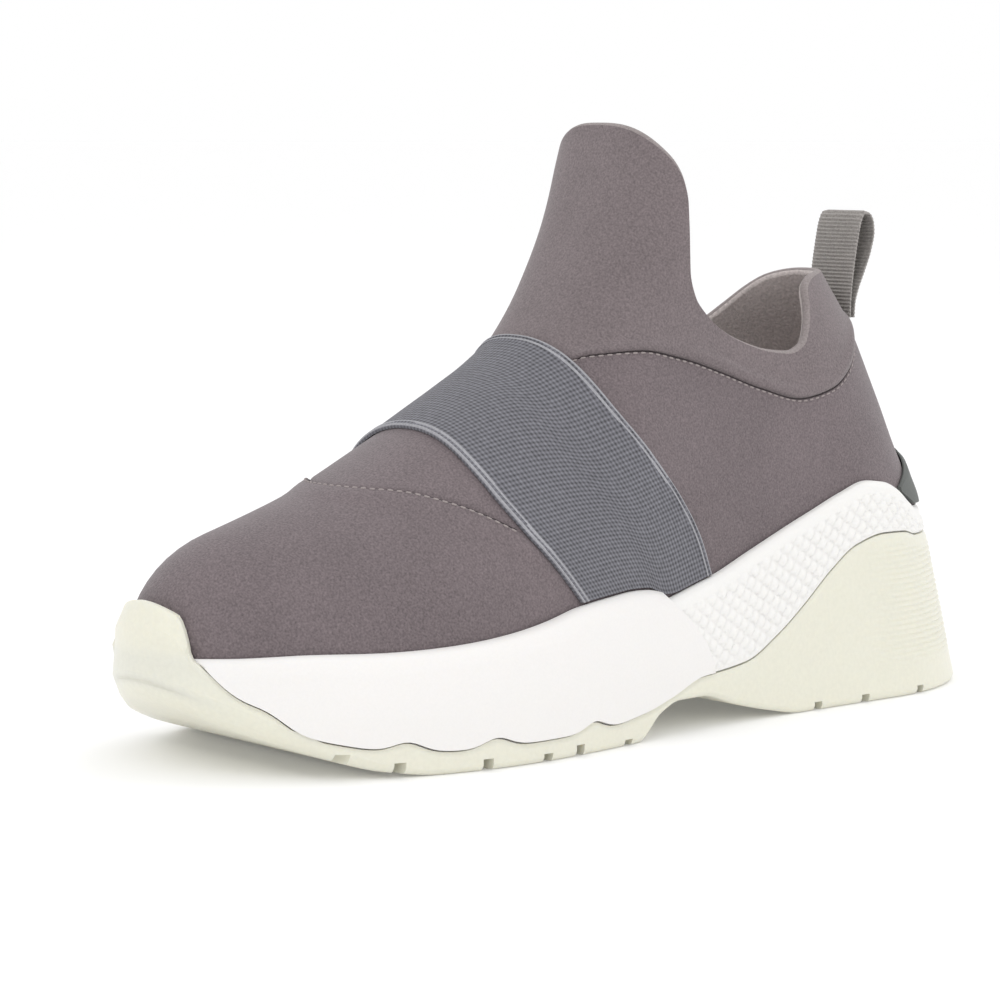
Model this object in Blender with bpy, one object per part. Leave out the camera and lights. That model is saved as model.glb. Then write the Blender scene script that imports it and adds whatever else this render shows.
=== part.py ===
"""Slip-on sneaker for the left foot: a soft bootie upper on a thick two-part sole.

The toe points to -Y, the outer side of the foot to +X, and Z is up from the floor.
All sizes are in metres. Stations run along the upper from 0 at the heel to 1 at the toe.
"""

import bmesh
import bpy
import numpy as np

# Driving sizes of the upper
UPPER_LENGTH = 0.262
HEEL_TO_CENTRE = 0.12625
SIDE_SHIFT = 0.0010
BALL_WIDTH = 0.088
HEEL_BED = 0.040
BALL_BED = 0.0175
TOE_BED_LIFT = 0.0075
TOE_BOX_RISE = 0.033
INSTEP_RISE = 0.073
TONGUE_RISE = 0.131
HEEL_TAB = 0.119
HEEL_PINCH = 0.16
TOE_SWING = 0.0045
WALL = 0.0026
SEAM_STEP = 0.0005

# Driving sizes of the sole
FRONT_RIM_RISE = 0.0163
HEEL_RIM_RISE = 0.0216
RIM_LIP = 0.0030
BACK_LIP_CUT = 0.0018
FRONT_SWELL = 0.0040
HEEL_FLARE = 0.0062
BACK_FLARE = 0.0045
GROUND_INSET = 0.0018
TOE_INSET = 0.0037
EDGE_ROUND = 0.0016
TOE_EDGE_ROUND = 0.0044
WRAP_THICKNESS = 0.0018
TOE_WRAP = 0.0015
CUP_WALL = 0.0015
WRAP_PROUD = 0.0006
FLOOR_THICKNESS = 0.0065
FLOOR_UNDER_EDGE = 0.0012
BUMPER_TOP = 0.0430
BUMPER_CROWN = 0.0026
BUMPER_THICKNESS = 0.0014
BUMPER_HALF_WIDTH = 0.0115
BUMPER_FALL = 0.0050
BUMPER_SHOULDER = 0.0078
HEEL_CLIP_RISE = 0.0460
TOE_SPRING = 0.0200
ARCH_RISE = 0.0105
LUG_DEPTH = 0.0030
GROOVE = 0.0030
LOBE_PROUD = 0.0010

# Driving sizes of the smaller pieces
INSOLE_THICKNESS = 0.0045
STRAP_THICKNESS = 0.0016
COUNTER_THICKNESS = 0.0011
COUNTER_RISE = 0.0180
LOOP_WIDTH = 0.0168
LOOP_THICKNESS = 0.0012
LOOP_RISE = 0.0290
CLEARANCE = 0.0003
FACET_ALLOWANCE = 0.00015

# Mesh density
UPPER_STEPS = 34
SOLE_STEPS = 48
PIECE_ROWS = (6, 5, 7)
WALL_SHARES = (0.0, 0.33, 0.67, 1.0)
END_SHARE = 0.12


def smooth_table(rows, column=1):
    """Returns a monotone cubic through one column of a table whose first column is the station."""
    x = np.array([row[0] for row in rows], float)
    y = np.array([row[column] for row in rows], float)
    step = np.diff(x)
    slope = np.diff(y) / step
    tangent = np.empty_like(y)
    tangent[0], tangent[-1] = slope[0], slope[-1]
    before, after = 2 * step[1:] + step[:-1], step[1:] + 2 * step[:-1]
    same = slope[:-1] * slope[1:] > 0
    safe = np.where(same, slope[:-1], 1.0), np.where(same, slope[1:], 1.0)
    tangent[1:-1] = np.where(same, (before + after) / (before / safe[0] + after / safe[1]), 0.0)

    def curve(at):
        at = np.clip(at, x[0], x[-1])
        i = np.clip(np.searchsorted(x, at) - 1, 0, len(step) - 1)
        t = (at - x[i]) / step[i]
        return (
            (2 * t**3 - 3 * t**2 + 1) * y[i]
            + (t**3 - 2 * t**2 + t) * step[i] * tangent[i]
            + (3 * t**2 - 2 * t**3) * y[i + 1]
            + (t**3 - t**2) * step[i] * tangent[i + 1]
        )

    return curve


def smooth_step(value, low, high):
    """0 below low, 1 above high and an S between them."""
    t = np.clip((value - low) / (high - low), 0.0, 1.0)
    return t * t * (3 - 2 * t)


def end_round(share, power):
    """The rounding of a closed end: 0 at its tip, 1 from a share of 1 on."""
    return (1 - (1 - np.clip(share, 0.0, 1.0)) ** power) ** (1 / power)


# Footbed: how far each station has dropped from heel to ball, and how far the toe has lifted.
BED = (
    # station, drop, toe lift
    (0.00, 0.000, 0.00),
    (0.12, 0.010, 0.00),
    (0.25, 0.085, 0.00),
    (0.40, 0.370, 0.00),
    (0.50, 0.630, 0.00),
    (0.60, 0.850, 0.00),
    (0.70, 0.970, 0.02),
    (0.80, 1.000, 0.12),
    (0.90, 1.000, 0.42),
    (1.00, 1.000, 1.00),
)
bed_drop = smooth_table(BED, 1)
bed_lift = smooth_table(BED, 2)


def bed_height(station):
    """Height of the footbed over the floor."""
    drop = (HEEL_BED - BALL_BED) * bed_drop(station)
    return HEEL_BED - drop + TOE_BED_LIFT * bed_lift(station)


# Ridge of the vamp and tongue over the footbed: a share of the toe, instep or tongue rise.
RIDGE = tuple(
    (station, size * share)
    for station, size, share in (
        (0.200, TONGUE_RISE, 2.950),
        (0.400, TONGUE_RISE, 1.430),
        (0.436, TONGUE_RISE, 1.040),
        (0.447, TONGUE_RISE, 0.955),
        (0.462, TONGUE_RISE, 0.870),
        (0.485, TONGUE_RISE, 0.780),
        (0.512, TONGUE_RISE, 0.695),
        (0.545, TONGUE_RISE, 0.622),
        (0.575, INSTEP_RISE, 1.055),
        (0.612, INSTEP_RISE, 0.995),
        (0.655, INSTEP_RISE, 0.925),
        (0.698, INSTEP_RISE, 0.848),
        (0.783, INSTEP_RISE, 0.693),
        (0.847, TOE_BOX_RISE, 1.325),
        (0.889, TOE_BOX_RISE, 1.190),
        (0.932, TOE_BOX_RISE, 1.060),
        (1.000, TOE_BOX_RISE, 0.920),
    )
)
TOE_FRONT_REACH = 0.095
TOE_FRONT_POWER = 2.1
ridge_table = smooth_table(RIDGE)


def ridge_rise(station):
    """Height of the ridge over the footbed, rounded down at the front of the toe."""
    return ridge_table(station) * end_round((1 - station) / TOE_FRONT_REACH, TOE_FRONT_POWER)


# Half widths as shares of half the ball width, and how full each section's arch is.
SECTION = (
    # station, outer half, inner half, rise power, root power
    (0.00, 0.73, 0.73, 3.6, 3.0),
    (0.20, 0.74, 0.71, 3.6, 3.0),
    (0.32, 0.77, 0.69, 3.6, 3.0),
    (0.44, 0.83, 0.68, 3.6, 2.8),
    (0.52, 0.89, 0.75, 2.8, 2.5),
    (0.60, 0.96, 0.87, 2.1, 2.3),
    (0.68, 1.01, 0.98, 2.0, 2.2),
    (0.76, 1.03, 1.03, 2.1, 2.1),
    (0.86, 1.03, 0.98, 2.15, 2.0),
    (1.00, 1.02, 0.96, 2.2, 2.0),
)
outer_half = smooth_table(SECTION, 1)
inner_half = smooth_table(SECTION, 2)
rise_power = smooth_table(SECTION, 3)
root_power = smooth_table(SECTION, 4)
OUTER_TOE_REACH, OUTER_TOE_POWER = 0.34, 2.1
INNER_TOE_REACH, INNER_TOE_POWER = 0.328, 2.1
HEEL_REACH, HEEL_POWER = 0.160, 2.0

# Back of the heel: the station where it stands at each share of the heel tab's height.
HEEL_CURVE = (
    (0.30, 0.002),
    (0.42, 0.000),
    (0.50, 0.015),
    (0.58, 0.033),
    (0.70, 0.057),
    (0.84, 0.087),
    (0.92, 0.107),
    (1.00, 0.132),
)
heel_table = smooth_table(HEEL_CURVE)

# How much of its width the ankle keeps at each share of the heel tab's height.
ANKLE = (
    (0.30, 1.00),
    (0.45, 1.00),
    (0.62, 0.945),
    (0.80, 0.855),
    (0.95, 0.810),
    (1.12, 0.83),
    (1.22, 0.83),
    (1.38, 0.74),
)
ankle_table = smooth_table(ANKLE)
ANKLE_FROM, ANKLE_TO = 0.66, 0.42


def heel_station(height):
    """Station of the back of the heel at a height."""
    return heel_table(height / HEEL_TAB)


def centre_offset(station):
    """Sideways place of the ridge, which swings inwards at the toe."""
    return SIDE_SHIFT - TOE_SWING * smooth_step(station, 0.62, 1.0)


def half_width(side, station, height):
    """Half width of the upper's skin on one side, +1 outer or -1 inner, at a station and height."""
    plan = np.where(side > 0, outer_half(station), inner_half(station)) * BALL_WIDTH / 2
    toe_reach = np.where(side > 0, OUTER_TOE_REACH, INNER_TOE_REACH)
    toe_power = np.where(side > 0, OUTER_TOE_POWER, INNER_TOE_POWER)
    toe = end_round((1 - station) / toe_reach, toe_power)
    heel = end_round((station - heel_station(height)) / HEEL_REACH, HEEL_POWER)
    rise = np.clip((height - bed_height(station)) / np.maximum(ridge_rise(station), 1e-6), 0, 1)
    arch = np.maximum(1 - rise ** rise_power(station), 0.0) ** (1 / root_power(station))
    share = height / HEEL_TAB
    waist = 1 - smooth_step(-station, -ANKLE_FROM, -ANKLE_TO) * (1 - ankle_table(share))
    pinch = smooth_step(share, 0.82, 1.0) * (1 - smooth_step(station, 0.20, 0.40))
    waist = waist * (1 - HEEL_PINCH * pinch)
    return plan * toe * heel * arch * waist


def along(station):
    """Y of a station."""
    return HEEL_TO_CENTRE - station * UPPER_LENGTH


def skin(side, station, height):
    """Points on the upper's outer skin."""
    x = centre_offset(station) + side * half_width(side, station, height)
    return np.stack(np.broadcast_arrays(x, along(station), height), axis=-1)


def station_of(ring):
    """Station of each point of a run."""
    return (HEEL_TO_CENTRE - ring[..., 1]) / UPPER_LENGTH


def ring_shares(steps):
    """Shares of a ring's run from heel to toe, closer together at both round ends."""
    g = np.linspace(0.0, 1.0, steps + 1)
    near = np.minimum(g, 1 - g)
    run = np.where(near < END_SHARE, near**2 / (2 * END_SHARE), near - END_SHARE / 2)
    run = run / (1 - END_SHARE)
    return np.where(g < 0.5, run, 1 - run)


def closed_ring(outer, inner):
    """Joins the two sides of a ring, each from heel to toe, into one closed run of points."""
    return np.concatenate([outer, inner[-2:0:-1]])


def ring_sides(steps):
    """+1 on the outer side and -1 on the inner side, for each point of a closed ring."""
    return np.array([1.0] * (steps + 1) + [-1.0] * (steps - 1))


def ring_stations(height_of, steps):
    """Stations from heel to toe of a ring that lies on the skin at the heights height_of gives."""
    back = 0.0
    for _ in range(30):
        back = float(heel_station(height_of(back)))
    low, front = 0.5, 1.0
    for _ in range(50):
        middle = (low + front) / 2
        inside = bed_height(middle) + ridge_rise(middle) > height_of(middle)
        low, front = (middle, front) if inside else (low, middle)
    return back + (low - back) * ring_shares(steps)


def level_ring(height_of, steps):
    """A closed ring on the skin at the heights that height_of gives for each station."""
    stations = ring_stations(height_of, steps)
    heights = height_of(stations)
    outer, inner = skin(1.0, stations, heights), skin(-1.0, stations, heights)
    outer[[0, -1], 0] = centre_offset(stations[[0, -1]])
    return closed_ring(outer, inner)


def grid_normals(rows):
    """Outward normals of a stack of closed rings, from the bottom ring up."""
    around = np.roll(rows, -1, axis=1) - np.roll(rows, 1, axis=1)
    upward = np.gradient(rows, axis=0)
    normal = np.cross(upward, around)
    return normal / np.linalg.norm(normal, axis=-1, keepdims=True)


def plan_normals(ring):
    """Outward level normals of one closed ring."""
    around = np.roll(ring, -1, axis=0) - np.roll(ring, 1, axis=0)
    normal = np.stack([-around[:, 1], around[:, 0], np.zeros(len(ring))], axis=-1)
    return normal / np.linalg.norm(normal, axis=-1, keepdims=True)


# Lines on the upper from the back of the heel to the ridge, heights as shares of the heel tab's.
# The last row gives only the station where the line crosses the ridge.
VAMP_EDGE = (
    (0.000, 0.385),
    (0.120, 0.375),
    (0.300, 0.335),
    (0.430, 0.300),
    (0.520, 0.295),
    (0.570, 0.330),
    (0.620, 0.415),
    (0.667, 0.484),
    (0.721, 0.545),
    (0.755, 0.568),
    (0.789,),
)
COLLAR_SEAM = (
    (0.105, 0.885),
    (0.130, 0.835),
    (0.164, 0.770),
    (0.199, 0.733),
    (0.248, 0.716),
    (0.308, 0.746),
    (0.366, 0.789),
    (0.424, 0.828),
    (0.475, 0.848),
    (0.524, 0.840),
    (0.548, 0.825),
    (0.574,),
)
TONGUE_EDGE = (
    (0.290, 0.826),
    (0.338, 0.856),
    (0.368, 0.889),
    (0.386, 0.922),
    (0.400, 0.959),
    (0.408, 1.020),
    (0.409, 1.100),
    (0.409, 1.173),
    (0.412, 1.215),
    (0.419, 1.258),
    (0.428, 1.293),
    (0.441,),
)
TOPLINE = (
    (0.128, 1.000),
    (0.145, 0.999),
    (0.165, 0.996),
    (0.190, 0.988),
    (0.207, 0.965),
    (0.214, 0.920),
    (0.229, 0.865),
    (0.241, 0.835),
    (0.261, 0.820),
) + TONGUE_EDGE
INNER_TOPLINE = (
    (0.128, 1.000),
    (0.138, 0.995),
    (0.150, 0.982),
    (0.166, 0.952),
    (0.182, 0.915),
    (0.202, 0.875),
    (0.225, 0.845),
    (0.258, 0.824),
) + TONGUE_EDGE


def run_of(table, steps):
    """The (station, height) pairs of a line on the skin, spread along it from heel to ridge."""
    end = table[-1][0]
    rows = [(station, height * HEEL_TAB) for station, height in table[:-1]]
    line = np.array(rows + [(end, float(bed_height(end) + ridge_rise(end)))])
    line[0, 0] = heel_station(line[0, 1])
    step = np.hypot(np.diff(line[:, 0]) * UPPER_LENGTH, np.diff(line[:, 1]))
    share = np.concatenate([[0.0], np.cumsum(step)]) / step.sum()
    at = ring_shares(steps)
    spread = [smooth_table(list(zip(share, line[:, k])))(at) for k in (0, 1)]
    return np.stack(spread, axis=-1)


def ridge_run(start, end, rows):
    """(station, height) pairs up the ridge between two stations, evenly spaced along it."""
    fine = start + (end - start) * np.linspace(0, 1, 400) ** 2
    line = np.stack([fine, bed_height(fine) + ridge_rise(fine)], axis=-1)
    length = np.hypot(np.diff(line[:, 0]) * UPPER_LENGTH, np.diff(line[:, 1]))
    total = np.concatenate([[0.0], np.cumsum(length)])
    at = np.linspace(0.0, total[-1], rows + 1)
    return np.stack([np.interp(at, total, line[:, 0]), np.interp(at, total, line[:, 1])], axis=-1)


def heel_run(low, high, rows):
    """(station, height) pairs up the back of the heel between two heights."""
    heights = np.linspace(low, high, rows + 1)
    return np.stack([heel_station(heights), heights], axis=-1)


def side_patch(bottom, top, back, ridge, shares):
    """Fills the side view between four lines with rows of (station, height) pairs."""
    s = shares[None, :, None]
    v = np.linspace(0, 1, len(back))[:, None, None]
    across = (1 - v) * bottom[None] + v * top[None]
    back_bend = back[:, None] - ((1 - v) * back[0] + v * back[-1])
    ridge_bend = ridge[:, None] - ((1 - v) * ridge[0] + v * ridge[-1])
    return across + (1 - s) ** 3 * back_bend + s**3 * ridge_bend


def skin_rows(outer_rows, inner_rows):
    """Closed rings on the skin from each side's rows of (station, height) pairs."""
    rings = []
    for outer_row, inner_row in zip(outer_rows, inner_rows):
        outer = skin(1.0, outer_row[:, 0], outer_row[:, 1])
        inner = skin(-1.0, inner_row[:, 0], inner_row[:, 1])
        outer[[0, -1], 0] = centre_offset(outer_row[[0, -1], 0])
        rings.append(closed_ring(outer, inner))
    return np.array(rings)


def upper_patches(steps, top):
    """Side views of the vamp, quarter and collar pieces as rows of (station, height) pairs."""
    shares = ring_shares(steps)
    bottom = np.stack([shares, bed_height(shares) + CLEARANCE], axis=-1)
    bottom[0, 0] = heel_station(bottom[0, 1])
    lines = [bottom] + [run_of(table, steps) for table in (VAMP_EDGE, COLLAR_SEAM, top)]
    patches = []
    for low, high, rows in zip(lines, lines[1:], PIECE_ROWS):
        ridge = ridge_run(low[-1, 0], high[-1, 0], rows)
        ridge[0] = low[-1]
        back = heel_run(low[0, 1], high[0, 1], rows)
        patches.append(side_patch(low, high, back, ridge, shares))
    return patches


def link_rings(bm, rings, closed_rows=False):
    """Joins neighbouring closed rings with faces, and the last to the first if asked."""
    verts = [[bm.verts.new(point) for point in ring] for ring in rings]
    pairs = list(zip(verts, verts[1:]))
    if closed_rows:
        pairs.append((verts[-1], verts[0]))
    for low, high in pairs:
        for i in range(len(low)):
            j = (i + 1) % len(low)
            bm.faces.new((low[i], low[j], high[j], high[i]))
    return verts


def span_ring(bm, ring, facing_up):
    """Closes a ring with strips that cross from the outer side to the inner side."""
    count = len(ring)
    for i in range(count // 2):
        corners = [ring[i], ring[i + 1], ring[(count - i - 1) % count], ring[(count - i) % count]]
        face = list(dict.fromkeys(corners))
        bm.faces.new(face if facing_up else face[::-1])


def finish(bm, name, material):
    """Makes the named object of a bmesh, with its faces pointing out."""
    bmesh.ops.recalc_face_normals(bm, faces=bm.faces)
    mesh = bpy.data.meshes.new(name)
    bm.to_mesh(mesh)
    bm.free()
    mesh.materials.append(material)
    mesh.shade_smooth()
    mesh.set_sharp_from_angle(angle=np.radians(35))
    made = bpy.data.objects.new(name, mesh)
    bpy.context.scene.collection.objects.link(made)
    return made


def finish_material(name, colour, roughness):
    """A Principled material with one colour."""
    material = bpy.data.materials.new(name)
    material.use_nodes = True
    shader = material.node_tree.nodes["Principled BSDF"]
    shader.inputs["Base Color"].default_value = (*colour, 1.0)
    shader.inputs["Roughness"].default_value = roughness
    shader.inputs["Metallic"].default_value = 0.0
    return material


def make_upper(material):
    """The hollow bootie: one skin with the vamp's edge and the collar piece raised, and its inside."""
    sides = []
    for top in (TOPLINE, INNER_TOPLINE):
        vamp, quarter, collar = upper_patches(UPPER_STEPS, top)
        sides.append(np.concatenate([vamp, quarter[1:], collar[1:]]))
    whole = skin_rows(*sides)
    normals = grid_normals(whole)
    first, second = PIECE_ROWS[0], PIECE_ROWS[0] + PIECE_ROWS[1]
    edge = SEAM_STEP * smooth_step(station_of(whole[first]), 0.58, 0.64)
    raised = whole[first] + normals[first] * edge[:, None]
    proud = whole[second:] + normals[second:] * SEAM_STEP
    outer = np.concatenate([whole[:first], [raised], whole[first + 1 : second + 1], proud])
    inner = (whole - normals * WALL)[::-1]
    bm = bmesh.new()
    link_rings(bm, np.concatenate([outer, inner]), closed_rows=True)
    return finish(bm, "upper", material)


# Rim of the sole over the footbed: shares of the front and of the heel rim's rise.
FRONT_RIM = (
    (0.30, 0.30),
    (0.42, 0.50),
    (0.472, 0.60),
    (0.503, 0.80),
    (0.541, 0.93),
    (0.602, 1.00),
    (0.650, 0.93),
    (0.735, 0.81),
    (0.822, 0.71),
    (0.897, 0.62),
    (0.961, 0.42),
    (1.000, 0.28),
)
HEEL_RIM = (
    (0.000, 0.50),
    (0.061, 0.53),
    (0.087, 0.65),
    (0.115, 0.84),
    (0.142, 0.96),
    (0.168, 1.00),
    (0.202, 0.91),
    (0.265, 0.70),
    (0.341, 0.51),
    (0.418, 0.38),
    (0.480, 0.37),
    (0.560, 0.37),
)
front_rim_table = smooth_table(FRONT_RIM)
heel_rim_table = smooth_table(HEEL_RIM)


def front_rim(station):
    """Height of the front midsole's rim."""
    return bed_height(station) + FRONT_RIM_RISE * front_rim_table(station)


def heel_rim(station):
    """Height of the rear midsole's rim."""
    return bed_height(station) + HEEL_RIM_RISE * heel_rim_table(station)


def rim_height(station):
    """Height of the sole's rim, front and rear forms together."""
    share = smooth_step(station, 0.45, 0.50)
    return heel_rim(station) * (1 - share) + front_rim(station) * share


# Top edge of the outsole along the side, over the floor: shares of the heel clip's rise.
OUTSOLE_EDGE = (
    (0.000, 0.935),
    (0.087, 0.955),
    (0.114, 0.990),
    (0.150, 1.000),
    (0.193, 0.950),
    (0.234, 0.820),
    (0.279, 0.640),
    (0.324, 0.480),
    (0.375, 0.350),
    (0.423, 0.318),
    (0.447, 0.308),
    (0.493, 0.225),
    (0.539, 0.160),
    (0.600, 0.122),
    (0.740, 0.115),
    (0.820, 0.135),
    (0.883, 0.200),
    (0.925, 0.280),
    (0.955, 0.365),
    (0.983, 0.500),
    (1.000, 0.600),
)
outsole_edge_table = smooth_table(OUTSOLE_EDGE)
SCALLOPS = (0.613, 0.733, 0.820, 0.932)
SCALLOP_RISE = 0.0024
SCALLOP_REACH = 0.0050

# Underside of the outsole over the floor.
GROUND = tuple(
    (station, size * share)
    for station, size, share in (
        (-0.070, ARCH_RISE, 0.45),
        (-0.040, ARCH_RISE, 0.16),
        (-0.010, ARCH_RISE, 0.0),
        (0.290, ARCH_RISE, 0.0),
        (0.340, ARCH_RISE, 0.20),
        (0.390, ARCH_RISE, 0.50),
        (0.440, ARCH_RISE, 0.85),
        (0.475, ARCH_RISE, 0.86),
        (0.505, ARCH_RISE, 0.62),
        (0.540, ARCH_RISE, 0.0),
        (0.790, TOE_SPRING, 0.0),
        (0.851, TOE_SPRING, 0.09),
        (0.890, TOE_SPRING, 0.24),
        (0.925, TOE_SPRING, 0.41),
        (0.955, TOE_SPRING, 0.58),
        (0.978, TOE_SPRING, 0.75),
        (1.000, TOE_SPRING, 0.93),
        (1.020, TOE_SPRING, 1.06),
    )
)
ground_table = smooth_table(GROUND)

# Thickness of the outsole's floor as a share of its largest.
FLOOR = ((0.00, 1.0), (0.40, 0.7), (0.80, 0.95), (0.95, 0.80), (1.00, 0.68))
floor_table = smooth_table(FLOOR)


def toe_across(station):
    """About how far out from the toe's middle the edge of the footbed is at a station."""
    return end_round((1 - station) / 0.33, 2.1) * BALL_WIDTH / 2


def bumper_share(station, margin=0.0):
    """1 across the toe bumper's tab, falling to 0 at its sides."""
    edge = BUMPER_HALF_WIDTH + margin
    return 1 - smooth_step(toe_across(station), edge, edge + BUMPER_FALL)


def outsole_edge(station):
    """Height of the outsole's top edge: the scalloped side, and the bumper's tab at the toe."""
    height = HEEL_CLIP_RISE * outsole_edge_table(station)
    for place in SCALLOPS:
        away = (station - place) * UPPER_LENGTH / SCALLOP_REACH
        height = height + SCALLOP_RISE * np.exp(-(away**2))
    across = toe_across(station)
    height = height + BUMPER_SHOULDER * (1 - smooth_step(across, 0.014, 0.032))
    top = BUMPER_TOP - BUMPER_CROWN * (across / BUMPER_HALF_WIDTH) ** 2
    return height + (top - height) * bumper_share(station)


def floor_top(station):
    """Height of the inside of the outsole's floor."""
    thick = ground_table(station) + FLOOR_THICKNESS * floor_table(station)
    return np.minimum(thick, outsole_edge(station) - FLOOR_UNDER_EDGE)


def side_swell(station, height):
    """How far the sole's side stands out from the edge of the footbed at a height."""
    rim = rim_height(station)
    depth = np.clip((rim - height) / rim, 0.0, 1.0)
    toe = smooth_step(station, 0.84, 1.0)
    front = FRONT_SWELL * (1 - 0.75 * toe) * np.sin(np.minimum(depth / 0.6, 1.0) * np.pi / 2)
    back = 1 - smooth_step(station, 0.02, 0.18)
    heel = (HEEL_FLARE + BACK_FLARE * back) * depth - BACK_LIP_CUT * back
    share = 1 - smooth_step(station, 0.16, 0.48)
    return RIM_LIP * (1 - 0.45 * toe) + front + (heel - front) * share


def skin_offset(base, normals, heights):
    """How far the upper's skin stands out from the footbed's edge at given heights."""
    low, high = np.full(len(base), -0.03), np.full(len(base), 0.004)
    for _ in range(26):
        middle = (low + high) / 2
        at = base + normals * middle[:, None]
        station, side = station_of(at), at[:, 0] - centre_offset(station_of(at))
        inside = np.abs(side) < half_width(np.sign(side), station, heights)
        low, high = np.where(inside, middle, low), np.where(inside, high, middle)
    return low


def wrap_ring(base, normals, height_of, out):
    """A ring on the inside of the outsole's wrap, moved out by a distance."""
    station = station_of(base)
    height, rim = height_of(station), rim_height(station)
    lean = skin_offset(base, normals, height) + FACET_ALLOWANCE
    lean = lean + CUP_WALL * (1 - smooth_step(height, rim + 0.0006, rim + 0.003))
    thick = WRAP_THICKNESS + TOE_WRAP * smooth_step(station, 0.80, 0.97)
    offset = np.maximum(side_swell(station, height) - thick, lean)
    ring = base + normals * (offset + out)[:, None]
    ring[:, 2] = height
    return ring


def wrap_heights(floor_of, edge_of, top_of):
    """Heights of the rows up a wrap, with one just over or under the rim where the edge passes it."""

    def knee(station):
        floor, edge = floor_of(station), edge_of(station)
        return np.minimum(top_of(station), floor + 0.7 * (edge - floor))

    rows = [floor_of, blend(floor_of, knee, 0.5), knee, blend(knee, edge_of, 0.5), edge_of]
    return rows


def side_ring(base, normals, heights, out):
    """A ring on the outside of the sole at given heights, moved out by given distances."""
    station = station_of(base)
    ring = base + normals * (side_swell(station, heights) + out)[:, None]
    ring[:, 2] = heights
    return ring


def blend(low, high, share):
    """A function of station that lies between two others."""
    return lambda station: low(station) * (1 - share) + high(station) * share


def make_midsole_form(rim_of, proud, name, material):
    """A cup round the upper's foot: bed, inner wall, lip, side, and the rebate for the outsole."""
    base = level_ring(bed_height, SOLE_STEPS)
    normals, station = plan_normals(base), station_of(base)
    wall = [level_ring(blend(bed_height, rim_of, k), SOLE_STEPS) for k in (0.0, 0.35, 0.7, 1.0)]
    inner = np.array(wall) + grid_normals(np.array(wall)) * (CLEARANCE + FACET_ALLOWANCE)
    inner[:, :, 2] = np.array(wall)[:, :, 2]
    edge_of = lambda q: np.minimum(outsole_edge(q) + CLEARANCE, rim_of(q) - 0.0016)
    floor_of = lambda q: floor_top(q) + CLEARANCE
    covered = bumper_share(station, 0.012)[:, None]
    rings = list(inner)
    for k in WALL_SHARES:
        side_of = blend(rim_of, lambda q: edge_of(q) + 0.0002, k)
        shown = side_ring(base, normals, side_of(station), proud * min(1.0, 3 * k))
        tucked = wrap_ring(base, normals, side_of, -CLEARANCE)
        rings.append(shown * (1 - covered) + tucked * covered)
    for height_of in wrap_heights(floor_of, edge_of, edge_of)[::-1]:
        rings.append(wrap_ring(base, normals, height_of, 0.0))
    bm = bmesh.new()
    verts = link_rings(bm, rings)
    span_ring(bm, verts[0], True)
    span_ring(bm, verts[-1], False)
    return finish(bm, name, material)


# Line where the front midsole's round lobe meets the rear midsole, over the footbed's width:
# height as a share of the heel's footbed.
LOBE = (
    (0.520, 1.60),
    (0.500, 1.12),
    (0.4807, 0.915),
    (0.466, 0.82),
    (0.452, 0.73),
    (0.436, 0.592),
    (0.4255, 0.442),
    (0.4225, 0.30),
    (0.4240, 0.10),
)


def lobe_cutter(side, name):
    """A prism that takes away all that lies behind the lobe's line, or all in front of it."""
    line = [(along(station), height * HEEL_BED) for station, height in LOBE]
    gap = -side * CLEARANCE / 2
    far = along(-0.3) if side > 0 else along(1.3)
    outline = [(far, line[-1][1])] + [(y + gap, z) for y, z in line[::-1]] + [(far, line[0][1])]
    bm = bmesh.new()
    ends = [[bm.verts.new((x, y, z)) for y, z in outline] for x in (-0.1, 0.1)]
    bm.faces.new(ends[0])
    bm.faces.new(ends[1][::-1])
    for i in range(len(outline)):
        j = (i + 1) % len(outline)
        bm.faces.new((ends[0][i], ends[1][i], ends[1][j], ends[0][j]))
    bmesh.ops.recalc_face_normals(bm, faces=bm.faces)
    return make_cutter(bm, name)


def make_cutter(bm, name):
    """An object that only cuts others."""
    mesh = bpy.data.meshes.new(name)
    bm.to_mesh(mesh)
    bm.free()
    made = bpy.data.objects.new(name, mesh)
    bpy.context.scene.collection.objects.link(made)
    made.hide_render = True
    made.display_type = "WIRE"
    return made


def cut(made, cutter):
    """Takes a cutter's shape out of an object."""
    modifier = made.modifiers.new(cutter.name, "BOOLEAN")
    modifier.operation = "DIFFERENCE"
    modifier.solver = "EXACT"
    modifier.object = cutter


# Grooves across the outsole, each a station and a share of the lugs' depth.
GROOVES = (
    (0.108, 0.8),
    (0.196, 0.8),
    (0.268, 0.8),
    (0.558, 0.6),
    (0.630, 1.0),
    (0.674, 0.75),
    (0.746, 1.0),
    (0.836, 0.95),
    (0.886, 0.75),
)


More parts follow.
